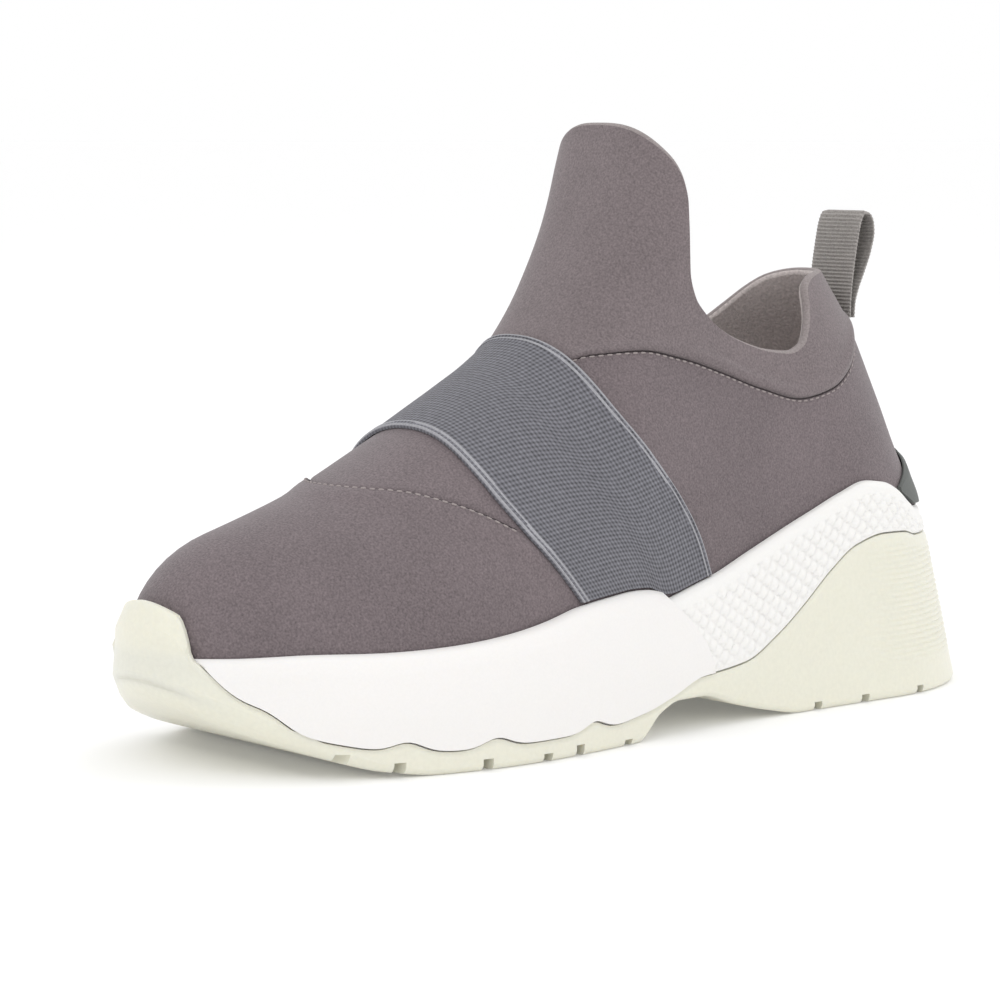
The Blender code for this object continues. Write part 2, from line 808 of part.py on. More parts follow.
def make_outsole(material):
    """The ground floor with its grooves, the scalloped wrap, the heel clip and the toe bumper."""
    base = level_ring(bed_height, SOLE_STEPS)
    normals, station = plan_normals(base), station_of(base)
    edge = outsole_edge(station)
    over_rim = lambda q: rim_height(q) + 0.0005
    rows = wrap_heights(floor_top, outsole_edge, over_rim)
    rings = [wrap_ring(base, normals, height_of, CLEARANCE) for height_of in rows]
    inside = rings[-1]
    tab = bumper_share(station, 0.004)
    toe = smooth_step(station, 0.80, 0.97)
    edge_round = EDGE_ROUND + TOE_EDGE_ROUND * toe
    for k in (0.0, 0.3, 0.65, 1.0):
        low = ground_table(station_of(side_ring(base, normals, edge, 0.0))) + edge_round
        heights = edge + (low - edge) * k
        ring = side_ring(base, normals, heights, WRAP_PROUD)
        if k == 0.0:
            over = inside + normals * BUMPER_THICKNESS
            ring = over * tab[:, None] + ring * (1 - tab[:, None])
        rings.append(ring)
    inset = GROUND_INSET + TOE_INSET * toe
    for turn in (0.29, 1.0):
        foot = side_ring(base, normals, rings[5][:, 2], WRAP_PROUD - inset * turn)
        ground = ground_table(station_of(foot))
        foot[:, 2] = ground + edge_round * (1 - turn) ** 3.6
        rings.append(foot)
    bm = bmesh.new()
    verts = link_rings(bm, rings)
    span_ring(bm, verts[0], True)
    span_ring(bm, verts[-1], False)
    made = finish(bm, "outsole", material)
    cutter = bmesh.new()
    for place, depth in GROOVES:
        box = bmesh.ops.create_cube(cutter, size=1.0)["verts"]
        reach = 2 * LUG_DEPTH * depth
        bmesh.ops.scale(cutter, vec=(0.2, GROOVE, reach), verts=box)
        level = float(ground_table(place))
        bmesh.ops.translate(cutter, vec=(0.0, along(place), level), verts=box)
    cut(made, make_cutter(cutter, "outsole_grooves"))
    return made


def make_insole(material):
    """The foot bed that lies inside the upper's open bottom."""
    heights = (CLEARANCE, CLEARANCE + INSOLE_THICKNESS)
    skins = np.array(
        [level_ring(lambda q, h=h: bed_height(q) + h, SOLE_STEPS) for h in heights]
    )
    rings = skins - grid_normals(skins) * (WALL + CLEARANCE + 4 * FACET_ALLOWANCE)
    rings[:, :, 2] = skins[:, :, 2]
    bm = bmesh.new()
    verts = link_rings(bm, rings)
    span_ring(bm, verts[0], False)
    span_ring(bm, verts[-1], True)
    return finish(bm, "insole", material)


# Front and back edges of the strap from the midsole's rim up to the ridge, heights as shares
# of the instep's rise. The first row gives only the station at the rim, the last at the ridge.
STRAP_FRONT = ((0.600,), (0.634, 0.669), (0.661, 0.789), (0.680, 0.911), (0.689, 1.030), (0.691,))
STRAP_BACK = ((0.404,), (0.419, 0.683), (0.447, 0.838), (0.484, 1.010), (0.521, 1.194), (0.549,))
STRAP_ROWS = 6
STRAP_STEPS = 14


def strap_shares():
    """Shares of the run from rim to ridge, closer together near the ridge."""
    return 1 - (1 - np.linspace(0.0, 1.0, STRAP_STEPS + 1)) ** 2


def strap_line(table):
    """(station, height) pairs from the rim to the ridge, closer together near the ridge."""
    first, last = table[0][0], table[-1][0]
    rows = [(first, float(rim_height(first)) + 0.0006)]
    rows += [(station, height * INSTEP_RISE) for station, height in table[1:-1]]
    rows.append((last, float(bed_height(last) + ridge_rise(last))))
    line = np.array(rows)
    step = np.hypot(np.diff(line[:, 0]) * UPPER_LENGTH, np.diff(line[:, 1]))
    share = np.concatenate([[0.0], np.cumsum(step)]) / step.sum()
    spread = [smooth_table(list(zip(share, line[:, k])))(strap_shares()) for k in (0, 1)]
    return np.stack(spread, axis=-1)


def strap_grid():
    """Rows of points on the skin across the strap, each from the outer rim to the inner rim."""
    front, back = strap_line(STRAP_FRONT), strap_line(STRAP_BACK)
    low = np.linspace(front[0, 0], back[0, 0], STRAP_ROWS + 1)
    low = np.stack([low, rim_height(low) + 0.0006], axis=-1)
    ridge = ridge_run(front[-1, 0], back[-1, 0], STRAP_ROWS)
    patch = side_patch(front, back, low, ridge, strap_shares())
    outer = skin(1.0, patch[..., 0], patch[..., 1])
    inner = skin(-1.0, patch[..., 0], patch[..., 1])
    outer[:, -1, 0] = centre_offset(patch[:, -1, 0])
    return np.concatenate([outer, inner[:, -2::-1]], axis=1)


def open_normals(grid):
    """Normals of an open grid of points, away from the middle of the foot."""
    down, over = np.gradient(grid, axis=0), np.gradient(grid, axis=1)
    normal = np.cross(down, over)
    normal /= np.linalg.norm(normal, axis=-1, keepdims=True)
    return normal


def shell(bm, grid, normals, low, high):
    """A closed sheet between two distances from an open grid."""
    layers = []
    for distance in (low, high):
        layers.append([[bm.verts.new(p) for p in row] for row in grid + normals * distance])
    rows, columns = grid.shape[:2]
    for layer in layers:
        for i in range(rows - 1):
            for j in range(columns - 1):
                bm.faces.new((layer[i][j], layer[i][j + 1], layer[i + 1][j + 1], layer[i + 1][j]))
    border = [(0, j) for j in range(columns)] + [(i, columns - 1) for i in range(1, rows)]
    border += [(rows - 1, j) for j in range(columns - 2, -1, -1)]
    border += [(i, 0) for i in range(rows - 2, 0, -1)]
    for here, there in zip(border, border[1:] + border[:1]):
        corners = [layers[k][i][j] for k, (i, j) in ((0, here), (0, there), (1, there), (1, here))]
        bm.faces.new(corners)


def make_strap(material):
    """The elastic strap over the instep, from rim to rim."""
    grid = strap_grid()
    normals = open_normals(grid)
    normals *= np.sign(normals[STRAP_ROWS // 2, STRAP_STEPS, 2])
    low = SEAM_STEP + CLEARANCE + FACET_ALLOWANCE
    bm = bmesh.new()
    shell(bm, grid, normals, low, low + STRAP_THICKNESS)
    return finish(bm, "instep_strap", material)


COUNTER_REACH = 0.100
COUNTER_STEPS = 13


def make_counter(material):
    """The low overlay round the back of the heel, highest at the back."""
    rows = []
    for k in (0.0, 0.5, 1.0):

        def height_of(station, k=k):
            fall = np.maximum(1 - np.maximum(station / COUNTER_REACH, 0.0) ** 1.6, 0.0)
            return heel_rim(station) + 0.0006 + k * (COUNTER_RISE * fall + 0.0012)

        back = 0.0
        for _ in range(30):
            back = float(heel_station(height_of(back)))
        run = back + (COUNTER_REACH - back) * np.linspace(0.0, 1.0, COUNTER_STEPS) ** 2
        outer, inner = skin(1.0, run, height_of(run)), skin(-1.0, run, height_of(run))
        outer[0, 0] = centre_offset(back)
        rows.append(np.concatenate([outer[::-1], inner[1:]]))
    grid = np.array(rows)
    normals = open_normals(grid)
    normals *= np.sign(normals[1, COUNTER_STEPS - 1, 1])
    low = CLEARANCE + FACET_ALLOWANCE
    bm = bmesh.new()
    shell(bm, grid, normals, low, low + COUNTER_THICKNESS)
    return finish(bm, "heel_counter", material)


# Path of the loop's ribbon in side view: station, and height over its foot as a share of its rise.
LOOP_FOOT = 0.1065
LOOP_PATH = (
    (0.0940, -0.05),
    (0.0938, 0.06),
    (0.0925, 0.22),
    (0.0890, 0.45),
    (0.0835, 0.72),
    (0.0785, 0.90),
    (0.0720, 0.985),
    (0.0655, 0.975),
    (0.0595, 0.900),
    (0.0580, 0.800),
    (0.0625, 0.620),
    (0.0720, 0.420),
    (0.0815, 0.240),
    (0.0870, 0.080),
    (0.0880, -0.05),
)


def make_loop(material):
    """The ribbon pull loop, sewn to the outside of the collar's back."""
    path = np.array([(along(s), LOOP_FOOT + LOOP_RISE * h) for s, h in LOOP_PATH])
    run = np.gradient(path, axis=0)
    side = np.stack([-run[:, 1], run[:, 0]], axis=-1)
    side *= LOOP_THICKNESS / 2 / np.linalg.norm(side, axis=-1, keepdims=True)
    outline = np.concatenate([path + side, (path - side)[::-1]])
    bm = bmesh.new()
    middle = float(centre_offset(0.1))
    rings = []
    for x in (-LOOP_WIDTH / 2, LOOP_WIDTH / 2):
        rings.append([bm.verts.new((middle + x, y, z)) for y, z in outline])
    count = len(outline)
    for i in range(count):
        j = (i + 1) % count
        bm.faces.new((rings[0][i], rings[0][j], rings[1][j], rings[1][i]))
    for ring in rings:
        for i in range(count // 2 - 1):
            bm.faces.new((ring[i], ring[i + 1], ring[count - i - 2], ring[count - i - 1]))
    return finish(bm, "heel_loop", material)


def clear_scene():
    """Removes the objects that the scene starts with."""
    for old in list(bpy.data.objects):
        bpy.data.objects.remove(old)


def main():
    """Builds every piece of the shoe."""
    clear_scene()
    knit = finish_material("bootie_knit", (0.20, 0.175, 0.18), 0.85)
    white = finish_material("midsole_white", (0.85, 0.84, 0.82), 0.55)
    quilt = finish_material("quilted_white", (0.82, 0.81, 0.80), 0.60)
    rubber = finish_material("cream_rubber", (0.76, 0.73, 0.60), 0.45)
    elastic = finish_material("strap_elastic", (0.15, 0.155, 0.175), 0.80)
    overlay = finish_material("counter_overlay", (0.14, 0.13, 0.13), 0.75)
    ribbon = finish_material("ribbon_taupe", (0.22, 0.20, 0.19), 0.80)
    lining = finish_material("insole_fabric", (0.25, 0.23, 0.23), 0.90)
    make_upper(knit)
    front = make_midsole_form(front_rim, LOBE_PROUD, "midsole_front", white)
    cut(front, lobe_cutter(1, "behind_the_lobe"))
    rear = make_midsole_form(heel_rim, 0.0, "midsole_rear", quilt)
    cut(rear, lobe_cutter(-1, "before_the_lobe"))
    make_outsole(rubber)
    make_insole(lining)
    make_strap(elastic)
    make_counter(overlay)
    make_loop(ribbon)


main()
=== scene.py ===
"""Looks of a slip-on sneaker for the left foot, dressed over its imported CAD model.

The toe points to -Y, the outer side of the foot to +X, and Z is up from the floor.
All sizes are in metres. Stations run along the upper from 0 at the heel to 1 at the toe.
"""

import logging
from abc import ABC, abstractmethod
from dataclasses import dataclass, field
from enum import Enum, IntEnum
from typing import Callable, Sequence

import bmesh
import bpy
import numpy as np
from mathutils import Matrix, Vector

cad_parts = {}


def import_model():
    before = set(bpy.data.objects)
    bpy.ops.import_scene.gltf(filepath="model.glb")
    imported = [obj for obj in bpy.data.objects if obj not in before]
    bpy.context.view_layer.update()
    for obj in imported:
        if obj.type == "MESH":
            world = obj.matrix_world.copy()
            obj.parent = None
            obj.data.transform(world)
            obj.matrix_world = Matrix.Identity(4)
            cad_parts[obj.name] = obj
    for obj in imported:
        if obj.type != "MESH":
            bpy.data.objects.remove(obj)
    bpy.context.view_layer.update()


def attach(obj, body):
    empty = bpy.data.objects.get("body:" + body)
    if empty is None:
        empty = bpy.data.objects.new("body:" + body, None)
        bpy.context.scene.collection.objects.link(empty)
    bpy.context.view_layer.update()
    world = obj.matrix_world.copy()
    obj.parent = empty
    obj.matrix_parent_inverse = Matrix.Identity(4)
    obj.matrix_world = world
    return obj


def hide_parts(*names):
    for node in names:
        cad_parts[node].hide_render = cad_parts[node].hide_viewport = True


LOG = logging.getLogger("sneaker")
Grid = np.ndarray
Heights = Callable[[Grid], Grid]
Table = Sequence[tuple[float, ...]]
Tree = bpy.types.NodeTree
Socket = bpy.types.NodeSocket
Thing = bpy.types.Object

# Driving sizes of the upper
UPPER_LENGTH = 0.262
HEEL_TO_CENTRE = 0.12625
SIDE_SHIFT = 0.0010
BALL_WIDTH = 0.088
HEEL_BED = 0.040
BALL_BED = 0.0175
TOE_BED_LIFT = 0.0075
TOE_BOX_RISE = 0.033
INSTEP_RISE = 0.073
TONGUE_RISE = 0.131
HEEL_TAB = 0.119
HEEL_PINCH = 0.16
TOE_SWING = 0.0045
WALL = 0.0026
SEAM_STEP = 0.0005

# Driving sizes of the sole
FRONT_RIM_RISE = 0.0163
HEEL_RIM_RISE = 0.0216
RIM_LIP = 0.0030
BACK_LIP_CUT = 0.0018
FRONT_SWELL = 0.0040
HEEL_FLARE = 0.0062
BACK_FLARE = 0.0045
GROUND_INSET = 0.0018
TOE_INSET = 0.0037
EDGE_ROUND = 0.0016
TOE_EDGE_ROUND = 0.0044
WRAP_THICKNESS = 0.0018
TOE_WRAP = 0.0015
CUP_WALL = 0.0015
WRAP_PROUD = 0.0006
FLOOR_THICKNESS = 0.0065
FLOOR_UNDER_EDGE = 0.0012
BUMPER_TOP = 0.0430
BUMPER_CROWN = 0.0026
BUMPER_THICKNESS = 0.0014
BUMPER_HALF_WIDTH = 0.0115
BUMPER_FALL = 0.0050
BUMPER_SHOULDER = 0.0078
HEEL_CLIP_RISE = 0.0460
TOE_SPRING = 0.0200
ARCH_RISE = 0.0105
LUG_DEPTH = 0.0030
GROOVE = 0.0030
LOBE_PROUD = 0.0010

# Driving sizes of the smaller pieces
INSOLE_THICKNESS = 0.0045
STRAP_THICKNESS = 0.0016
COUNTER_THICKNESS = 0.0011
COUNTER_RISE = 0.0180
LOOP_WIDTH = 0.0168
LOOP_THICKNESS = 0.0012
LOOP_RISE = 0.0290
CLEARANCE = 0.0003
FACET_ALLOWANCE = 0.00015
OVER_RIM = 0.0006
SKIM = 0.00025

# Counts and shares of the ring makers
END_SHARE = 0.12
SETTLING_ROUNDS = 30
HALVINGS = 50
SKIN_HALVINGS = 26
SKIN_SEARCH = (-0.03, 0.004)
FINE_STEPS = 400
SMOOTHING_ROUNDS = 8
SHARP_DEGREES = 40
PER_METRE = 1000

# Stations between which a form changes into another
TOE_SWING_RUN = (0.62, 1.0)
TOE_WRAP_RUN = (0.80, 0.97)
TOE_SWELL_RUN = (0.84, 1.0)
BACK_RUN = (0.02, 0.18)
HEEL_RUN = (0.16, 0.48)
RIM_MEET = (0.45, 0.50)
PINCH_RUN = (0.20, 0.40)
PINCH_HEIGHTS = (0.82, 1.0)
TOE_PLAN_REACH, TOE_PLAN_POWER = 0.33, 2.1
SHOULDER_RUN = (0.014, 0.032)
CUP_FADE = (0.0006, 0.003)
SWELL_SHARE = 0.6


def smooth_table(rows: Table, column: int = 1) -> Heights:
    """Returns a monotone cubic through one column of a table whose first column is the station."""
    x = np.array([row[0] for row in rows], float)
    y = np.array([row[column] for row in rows], float)
    step = np.diff(x)
    slope = np.diff(y) / step
    tangent = np.empty_like(y)
    tangent[0], tangent[-1] = slope[0], slope[-1]
    before, after = 2 * step[1:] + step[:-1], step[1:] + 2 * step[:-1]
    same = slope[:-1] * slope[1:] > 0
    safe = np.where(same, slope[:-1], 1.0), np.where(same, slope[1:], 1.0)
    tangent[1:-1] = np.where(same, (before + after) / (before / safe[0] + after / safe[1]), 0.0)

    def curve(at: Grid) -> Grid:
        at = np.clip(at, x[0], x[-1])
        i = np.clip(np.searchsorted(x, at) - 1, 0, len(step) - 1)
        t = (at - x[i]) / step[i]
        return (
            (2 * t**3 - 3 * t**2 + 1) * y[i]
            + (t**3 - 2 * t**2 + t) * step[i] * tangent[i]
            + (3 * t**2 - 2 * t**3) * y[i + 1]
            + (t**3 - t**2) * step[i] * tangent[i + 1]
        )

    return curve


def smooth_step(value: Grid, low: float, high: float) -> Grid:
    """0 below low, 1 above high and an S between them."""
    t = np.clip((value - low) / (high - low), 0.0, 1.0)
    return t * t * (3 - 2 * t)


def end_round(share: Grid, power: float) -> Grid:
    """The rounding of a closed end: 0 at its tip, 1 from a share of 1 on."""
    return (1 - (1 - np.clip(share, 0.0, 1.0)) ** power) ** (1 / power)


# Footbed: how far each station has dropped from heel to ball, and how far the toe has lifted.
BED = (
    # station, drop, toe lift
    (0.00, 0.000, 0.00),
    (0.12, 0.010, 0.00),
    (0.25, 0.085, 0.00),
    (0.40, 0.370, 0.00),
    (0.50, 0.630, 0.00),
    (0.60, 0.850, 0.00),
    (0.70, 0.970, 0.02),
    (0.80, 1.000, 0.12),
    (0.90, 1.000, 0.42),
    (1.00, 1.000, 1.00),
)
bed_drop, bed_lift = (smooth_table(BED, column) for column in (1, 2))


def bed_height(station: Grid) -> Grid:
    """Height of the footbed over the floor."""
    drop = (HEEL_BED - BALL_BED) * bed_drop(station)
    return HEEL_BED - drop + TOE_BED_LIFT * bed_lift(station)


# Ridge of the vamp and tongue over the footbed: a share of the toe, instep or tongue rise.
RIDGE = tuple(
    (station, size * share)
    for size, rows in (
        (TONGUE_RISE, (
            (0.200, 2.950), (0.400, 1.430), (0.436, 1.040), (0.447, 0.955), (0.462, 0.870),
            (0.485, 0.780), (0.512, 0.695), (0.545, 0.622),
        )),
        (INSTEP_RISE, (
            (0.575, 1.055), (0.612, 0.995), (0.655, 0.925), (0.698, 0.848), (0.783, 0.693),
        )),
        (TOE_BOX_RISE, (
            (0.847, 1.325), (0.889, 1.190), (0.932, 1.060), (1.000, 0.920),
        )),
    )
    for station, share in rows
)
TOE_FRONT_REACH = 0.095
TOE_FRONT_POWER = 2.1
ridge_table = smooth_table(RIDGE)


def ridge_rise(station: Grid) -> Grid:
    """Height of the ridge over the footbed, rounded down at the front of the toe."""
    return ridge_table(station) * end_round((1 - station) / TOE_FRONT_REACH, TOE_FRONT_POWER)


# Half widths as shares of half the ball width, and how full each section's arch is.
SECTION = (
    # station, outer half, inner half, rise power, root power
    (0.00, 0.73, 0.73, 3.6, 3.0),
    (0.20, 0.74, 0.71, 3.6, 3.0),
    (0.32, 0.77, 0.69, 3.6, 3.0),
    (0.44, 0.83, 0.68, 3.6, 2.8),
    (0.52, 0.89, 0.75, 2.8, 2.5),
    (0.60, 0.96, 0.87, 2.1, 2.3),
    (0.68, 1.01, 0.98, 2.0, 2.2),
    (0.76, 1.03, 1.03, 2.1, 2.1),
    (0.86, 1.03, 0.98, 2.15, 2.0),
    (1.00, 1.02, 0.96, 2.2, 2.0),
)
outer_half, inner_half, rise_power, root_power = (
    smooth_table(SECTION, column) for column in (1, 2, 3, 4)
)
OUTER_TOE_REACH, OUTER_TOE_POWER = 0.34, 2.1
INNER_TOE_REACH, INNER_TOE_POWER = 0.328, 2.1
HEEL_REACH, HEEL_POWER = 0.160, 2.0

# Back of the heel: the station where it stands at each share of the heel tab's height.
HEEL_CURVE = (
    (0.30, 0.002), (0.42, 0.000), (0.50, 0.015), (0.58, 0.033), (0.70, 0.057), (0.84, 0.087),
    (0.92, 0.107), (1.00, 0.132),
)
heel_table = smooth_table(HEEL_CURVE)

# How much of its width the ankle keeps at each share of the heel tab's height.
ANKLE = (
    (0.30, 1.00), (0.45, 1.00), (0.62, 0.945), (0.80, 0.855), (0.95, 0.810), (1.12, 0.83),
    (1.22, 0.83), (1.38, 0.74),
)
ankle_table = smooth_table(ANKLE)
ANKLE_FROM, ANKLE_TO = 0.66, 0.42


def heel_station(height: Grid) -> Grid:
    """Station of the back of the heel at a height."""
    return heel_table(height / HEEL_TAB)


def centre_offset(station: Grid) -> Grid:
    """Sideways place of the ridge, which swings inwards at the toe."""
    return SIDE_SHIFT - TOE_SWING * smooth_step(station, *TOE_SWING_RUN)


def half_width(side: Grid, station: Grid, height: Grid) -> Grid:
    """Half width of the upper's skin on one side.

    Args:
        side: 1 for the outer side, -1 for the inner.
        station: place along the upper.
        height: height over the floor.

    Returns:
        Distance of the skin from the centre line.
    """
    plan = np.where(side > 0, outer_half(station), inner_half(station)) * BALL_WIDTH / 2
    toe_reach = np.where(side > 0, OUTER_TOE_REACH, INNER_TOE_REACH)
    toe_power = np.where(side > 0, OUTER_TOE_POWER, INNER_TOE_POWER)
    toe = end_round((1 - station) / toe_reach, toe_power)
    heel = end_round((station - heel_station(height)) / HEEL_REACH, HEEL_POWER)
    rise = np.clip((height - bed_height(station)) / np.maximum(ridge_rise(station), 1e-6), 0, 1)
    arch = np.maximum(1 - rise ** rise_power(station), 0.0) ** (1 / root_power(station))
    share = height / HEEL_TAB
    waist = 1 - smooth_step(-station, -ANKLE_FROM, -ANKLE_TO) * (1 - ankle_table(share))
    pinch = smooth_step(share, *PINCH_HEIGHTS) * (1 - smooth_step(station, *PINCH_RUN))
    waist = waist * (1 - HEEL_PINCH * pinch)
    return plan * toe * heel * arch * waist


def along(station: Grid) -> Grid:
    """Y of a station."""
    return HEEL_TO_CENTRE - station * UPPER_LENGTH


def skin(side: Grid, station: Grid, height: Grid) -> Grid:
    """Points on the upper's outer skin, on side 1 or -1."""
    x = centre_offset(station) + side * half_width(side, station, height)
    return np.stack(np.broadcast_arrays(x, along(station), height), axis=-1)


def both_sides(station: Grid, height: Grid) -> tuple[Grid, Grid]:
    """Points on the outer and the inner side of the skin."""
    return skin(1.0, station, height), skin(-1.0, station, height)


def station_of(ring: Grid) -> Grid:
    """Station of each point of a run."""
    return (HEEL_TO_CENTRE - ring[..., 1]) / UPPER_LENGTH


def ring_shares(steps: int) -> Grid:
    """Shares of a ring's run from heel to toe, closer together at both round ends."""
    g = np.linspace(0.0, 1.0, steps + 1)
    near = np.minimum(g, 1 - g)
    run = np.where(near < END_SHARE, near**2 / (2 * END_SHARE), near - END_SHARE / 2)
    run = run / (1 - END_SHARE)
    return np.where(g < 0.5, run, 1 - run)


def closed_ring(outer: Grid, inner: Grid) -> Grid:
    """Joins the two sides of a ring, each from heel to toe, into one closed run of points."""
    return np.concatenate([outer, inner[-2:0:-1]])


def heel_back(height_of: Heights) -> float:
    """Station where a line on the skin, at the heights height_of gives, meets the heel's back."""
    back = 0.0
    for _ in range(SETTLING_ROUNDS):
        back = float(heel_station(height_of(back)))
    return back


def ring_stations(height_of: Heights, steps: int) -> Grid:
    """Stations from heel to toe of a ring that lies on the skin at the heights height_of gives."""
    back = heel_back(height_of)
    low, front = 0.5, 1.0
    for _ in range(HALVINGS):
        middle = (low + front) / 2
        inside = bed_height(middle) + ridge_rise(middle) > height_of(middle)
        low, front = (middle, front) if inside else (low, middle)
    return back + (low - back) * ring_shares(steps)


def level_ring(height_of: Heights, steps: int) -> Grid:
    """A closed ring on the skin at the heights that height_of gives for each station."""
    stations = ring_stations(height_of, steps)
    outer, inner = both_sides(stations, height_of(stations))
    outer[[0, -1], 0] = centre_offset(stations[[0, -1]])
    return closed_ring(outer, inner)


def grid_normals(rows: Grid) -> Grid:
    """Outward normals of a stack of closed rings, from the bottom ring up."""
    around = np.roll(rows, -1, axis=1) - np.roll(rows, 1, axis=1)
    upward = np.gradient(rows, axis=0)
    normal = np.cross(upward, around)
    return normal / np.linalg.norm(normal, axis=-1, keepdims=True)


def plan_normals(ring: Grid) -> Grid:
    """Outward level normals of one closed ring."""
    around = np.roll(ring, -1, axis=0) - np.roll(ring, 1, axis=0)
    normal = np.stack([-around[:, 1], around[:, 0], np.zeros(len(ring))], axis=-1)
    return normal / np.linalg.norm(normal, axis=-1, keepdims=True)


# Lines on the upper from the back of the heel to the ridge, heights as shares of the heel tab's.
# The last row gives only the station where the line crosses the ridge.
VAMP_EDGE = (
    (0.000, 0.385), (0.120, 0.375), (0.300, 0.335), (0.430, 0.300), (0.520, 0.295),
    (0.570, 0.330), (0.620, 0.415), (0.667, 0.484), (0.721, 0.545), (0.755, 0.568), (0.789,),
)
COLLAR_SEAM = (
    (0.105, 0.885), (0.130, 0.835), (0.164, 0.770), (0.199, 0.733), (0.248, 0.716),
    (0.308, 0.746), (0.366, 0.789), (0.424, 0.828), (0.475, 0.848), (0.524, 0.840),
    (0.548, 0.825), (0.574,),
)
TONGUE_EDGE = (
    (0.290, 0.826), (0.338, 0.856), (0.368, 0.889), (0.386, 0.922), (0.400, 0.959),
    (0.408, 1.020), (0.409, 1.100), (0.409, 1.173), (0.412, 1.215), (0.419, 1.258),
    (0.428, 1.293), (0.441,),
)
TOPLINE = (
    (0.128, 1.000), (0.145, 0.999), (0.165, 0.996), (0.190, 0.988), (0.207, 0.965),
    (0.214, 0.920), (0.229, 0.865), (0.241, 0.835), (0.261, 0.820),
) + TONGUE_EDGE
INNER_TOPLINE = (
    (0.128, 1.000), (0.138, 0.995), (0.150, 0.982), (0.166, 0.952), (0.182, 0.915),
    (0.202, 0.875), (0.225, 0.845), (0.258, 0.824),
) + TONGUE_EDGE


def spread_line(line: Grid, at: Grid) -> Grid:
    """The (station, height) pairs of a line at shares of its length."""
    step = np.hypot(np.diff(line[:, 0]) * UPPER_LENGTH, np.diff(line[:, 1]))
    share = np.concatenate([[0.0], np.cumsum(step)]) / step.sum()
    return np.stack([smooth_table(list(zip(share, line[:, k])))(at) for k in (0, 1)], axis=-1)


def run_of(table: Table, steps: int) -> Grid:
    """The (station, height) pairs of a line on the skin, spread along it from heel to ridge."""
    end = table[-1][0]
    rows = [(station, height * HEEL_TAB) for station, height in table[:-1]]
    line = np.array(rows + [(end, float(bed_height(end) + ridge_rise(end)))])
    line[0, 0] = heel_station(line[0, 1])
    return spread_line(line, ring_shares(steps))


# Rim of the sole over the footbed: shares of the front and of the heel rim's rise.
FRONT_RIM = (
    (0.30, 0.30), (0.42, 0.50), (0.472, 0.60), (0.503, 0.80), (0.541, 0.93), (0.602, 1.00),
    (0.650, 0.93), (0.735, 0.81), (0.822, 0.71), (0.897, 0.62), (0.961, 0.42), (1.000, 0.28),
)
HEEL_RIM = (
    (0.000, 0.50), (0.061, 0.53), (0.087, 0.65), (0.115, 0.84), (0.142, 0.96), (0.168, 1.00),
    (0.202, 0.91), (0.265, 0.70), (0.341, 0.51), (0.418, 0.38), (0.480, 0.37), (0.560, 0.37),
)
front_rim_table = smooth_table(FRONT_RIM)
heel_rim_table = smooth_table(HEEL_RIM)


def front_rim(station: Grid) -> Grid:
    """Height of the front midsole's rim."""
    return bed_height(station) + FRONT_RIM_RISE * front_rim_table(station)


def heel_rim(station: Grid) -> Grid:
    """Height of the rear midsole's rim."""
    return bed_height(station) + HEEL_RIM_RISE * heel_rim_table(station)


def rim_height(station: Grid) -> Grid:
    """Height of the sole's rim, front and rear forms together."""
    share = smooth_step(station, *RIM_MEET)
    return heel_rim(station) * (1 - share) + front_rim(station) * share


# Top edge of the outsole along the side, over the floor: shares of the heel clip's rise.
OUTSOLE_EDGE = (
    (0.000, 0.935), (0.087, 0.955), (0.114, 0.990), (0.150, 1.000), (0.193, 0.950),
    (0.234, 0.820), (0.279, 0.640), (0.324, 0.480), (0.375, 0.350), (0.423, 0.318),
    (0.447, 0.308), (0.493, 0.225), (0.539, 0.160), (0.600, 0.122), (0.740, 0.115),
    (0.820, 0.135), (0.883, 0.200), (0.925, 0.280), (0.955, 0.365), (0.983, 0.500),
    (1.000, 0.600),
)
outsole_edge_table = smooth_table(OUTSOLE_EDGE)
SCALLOPS = (0.613, 0.733, 0.820, 0.932)
SCALLOP_RISE = 0.0024
SCALLOP_REACH = 0.0050

# Underside of the outsole over the floor.
GROUND = tuple(
    (station, size * share)
    for size, rows in (
        (ARCH_RISE, (
            (-0.070, 0.45), (-0.040, 0.16), (-0.010, 0.0), (0.290, 0.0), (0.340, 0.20),
            (0.390, 0.50), (0.440, 0.85), (0.475, 0.86), (0.505, 0.62), (0.540, 0.0),
        )),
        (TOE_SPRING, (
            (0.790, 0.0), (0.851, 0.09), (0.890, 0.24), (0.925, 0.41), (0.955, 0.58),
            (0.978, 0.75), (1.000, 0.93), (1.020, 1.06),
        )),
    )
    for station, share in rows
)
ground_table = smooth_table(GROUND)

# Thickness of the outsole's floor as a share of its largest.
FLOOR = ((0.00, 1.0), (0.40, 0.7), (0.80, 0.95), (0.95, 0.80), (1.00, 0.68))
floor_table = smooth_table(FLOOR)


def toe_across(station: Grid) -> Grid:
    """About how far out from the toe's middle the edge of the footbed is at a station."""
    return end_round((1 - station) / TOE_PLAN_REACH, TOE_PLAN_POWER) * BALL_WIDTH / 2


def bumper_share(station: Grid, margin: float = 0.0) -> Grid:
    """1 across the toe bumper's tab, falling to 0 at its sides."""
    edge = BUMPER_HALF_WIDTH + margin
    return 1 - smooth_step(toe_across(station), edge, edge + BUMPER_FALL)


def outsole_edge(station: Grid) -> Grid:
    """Height of the outsole's top edge: the scalloped side, and the bumper's tab at the toe."""
    height = HEEL_CLIP_RISE * outsole_edge_table(station)
    for place in SCALLOPS:
        away = (station - place) * UPPER_LENGTH / SCALLOP_REACH
        height = height + SCALLOP_RISE * np.exp(-(away**2))
    across = toe_across(station)
    height = height + BUMPER_SHOULDER * (1 - smooth_step(across, *SHOULDER_RUN))
    top = BUMPER_TOP - BUMPER_CROWN * (across / BUMPER_HALF_WIDTH) ** 2
    return height + (top - height) * bumper_share(station)


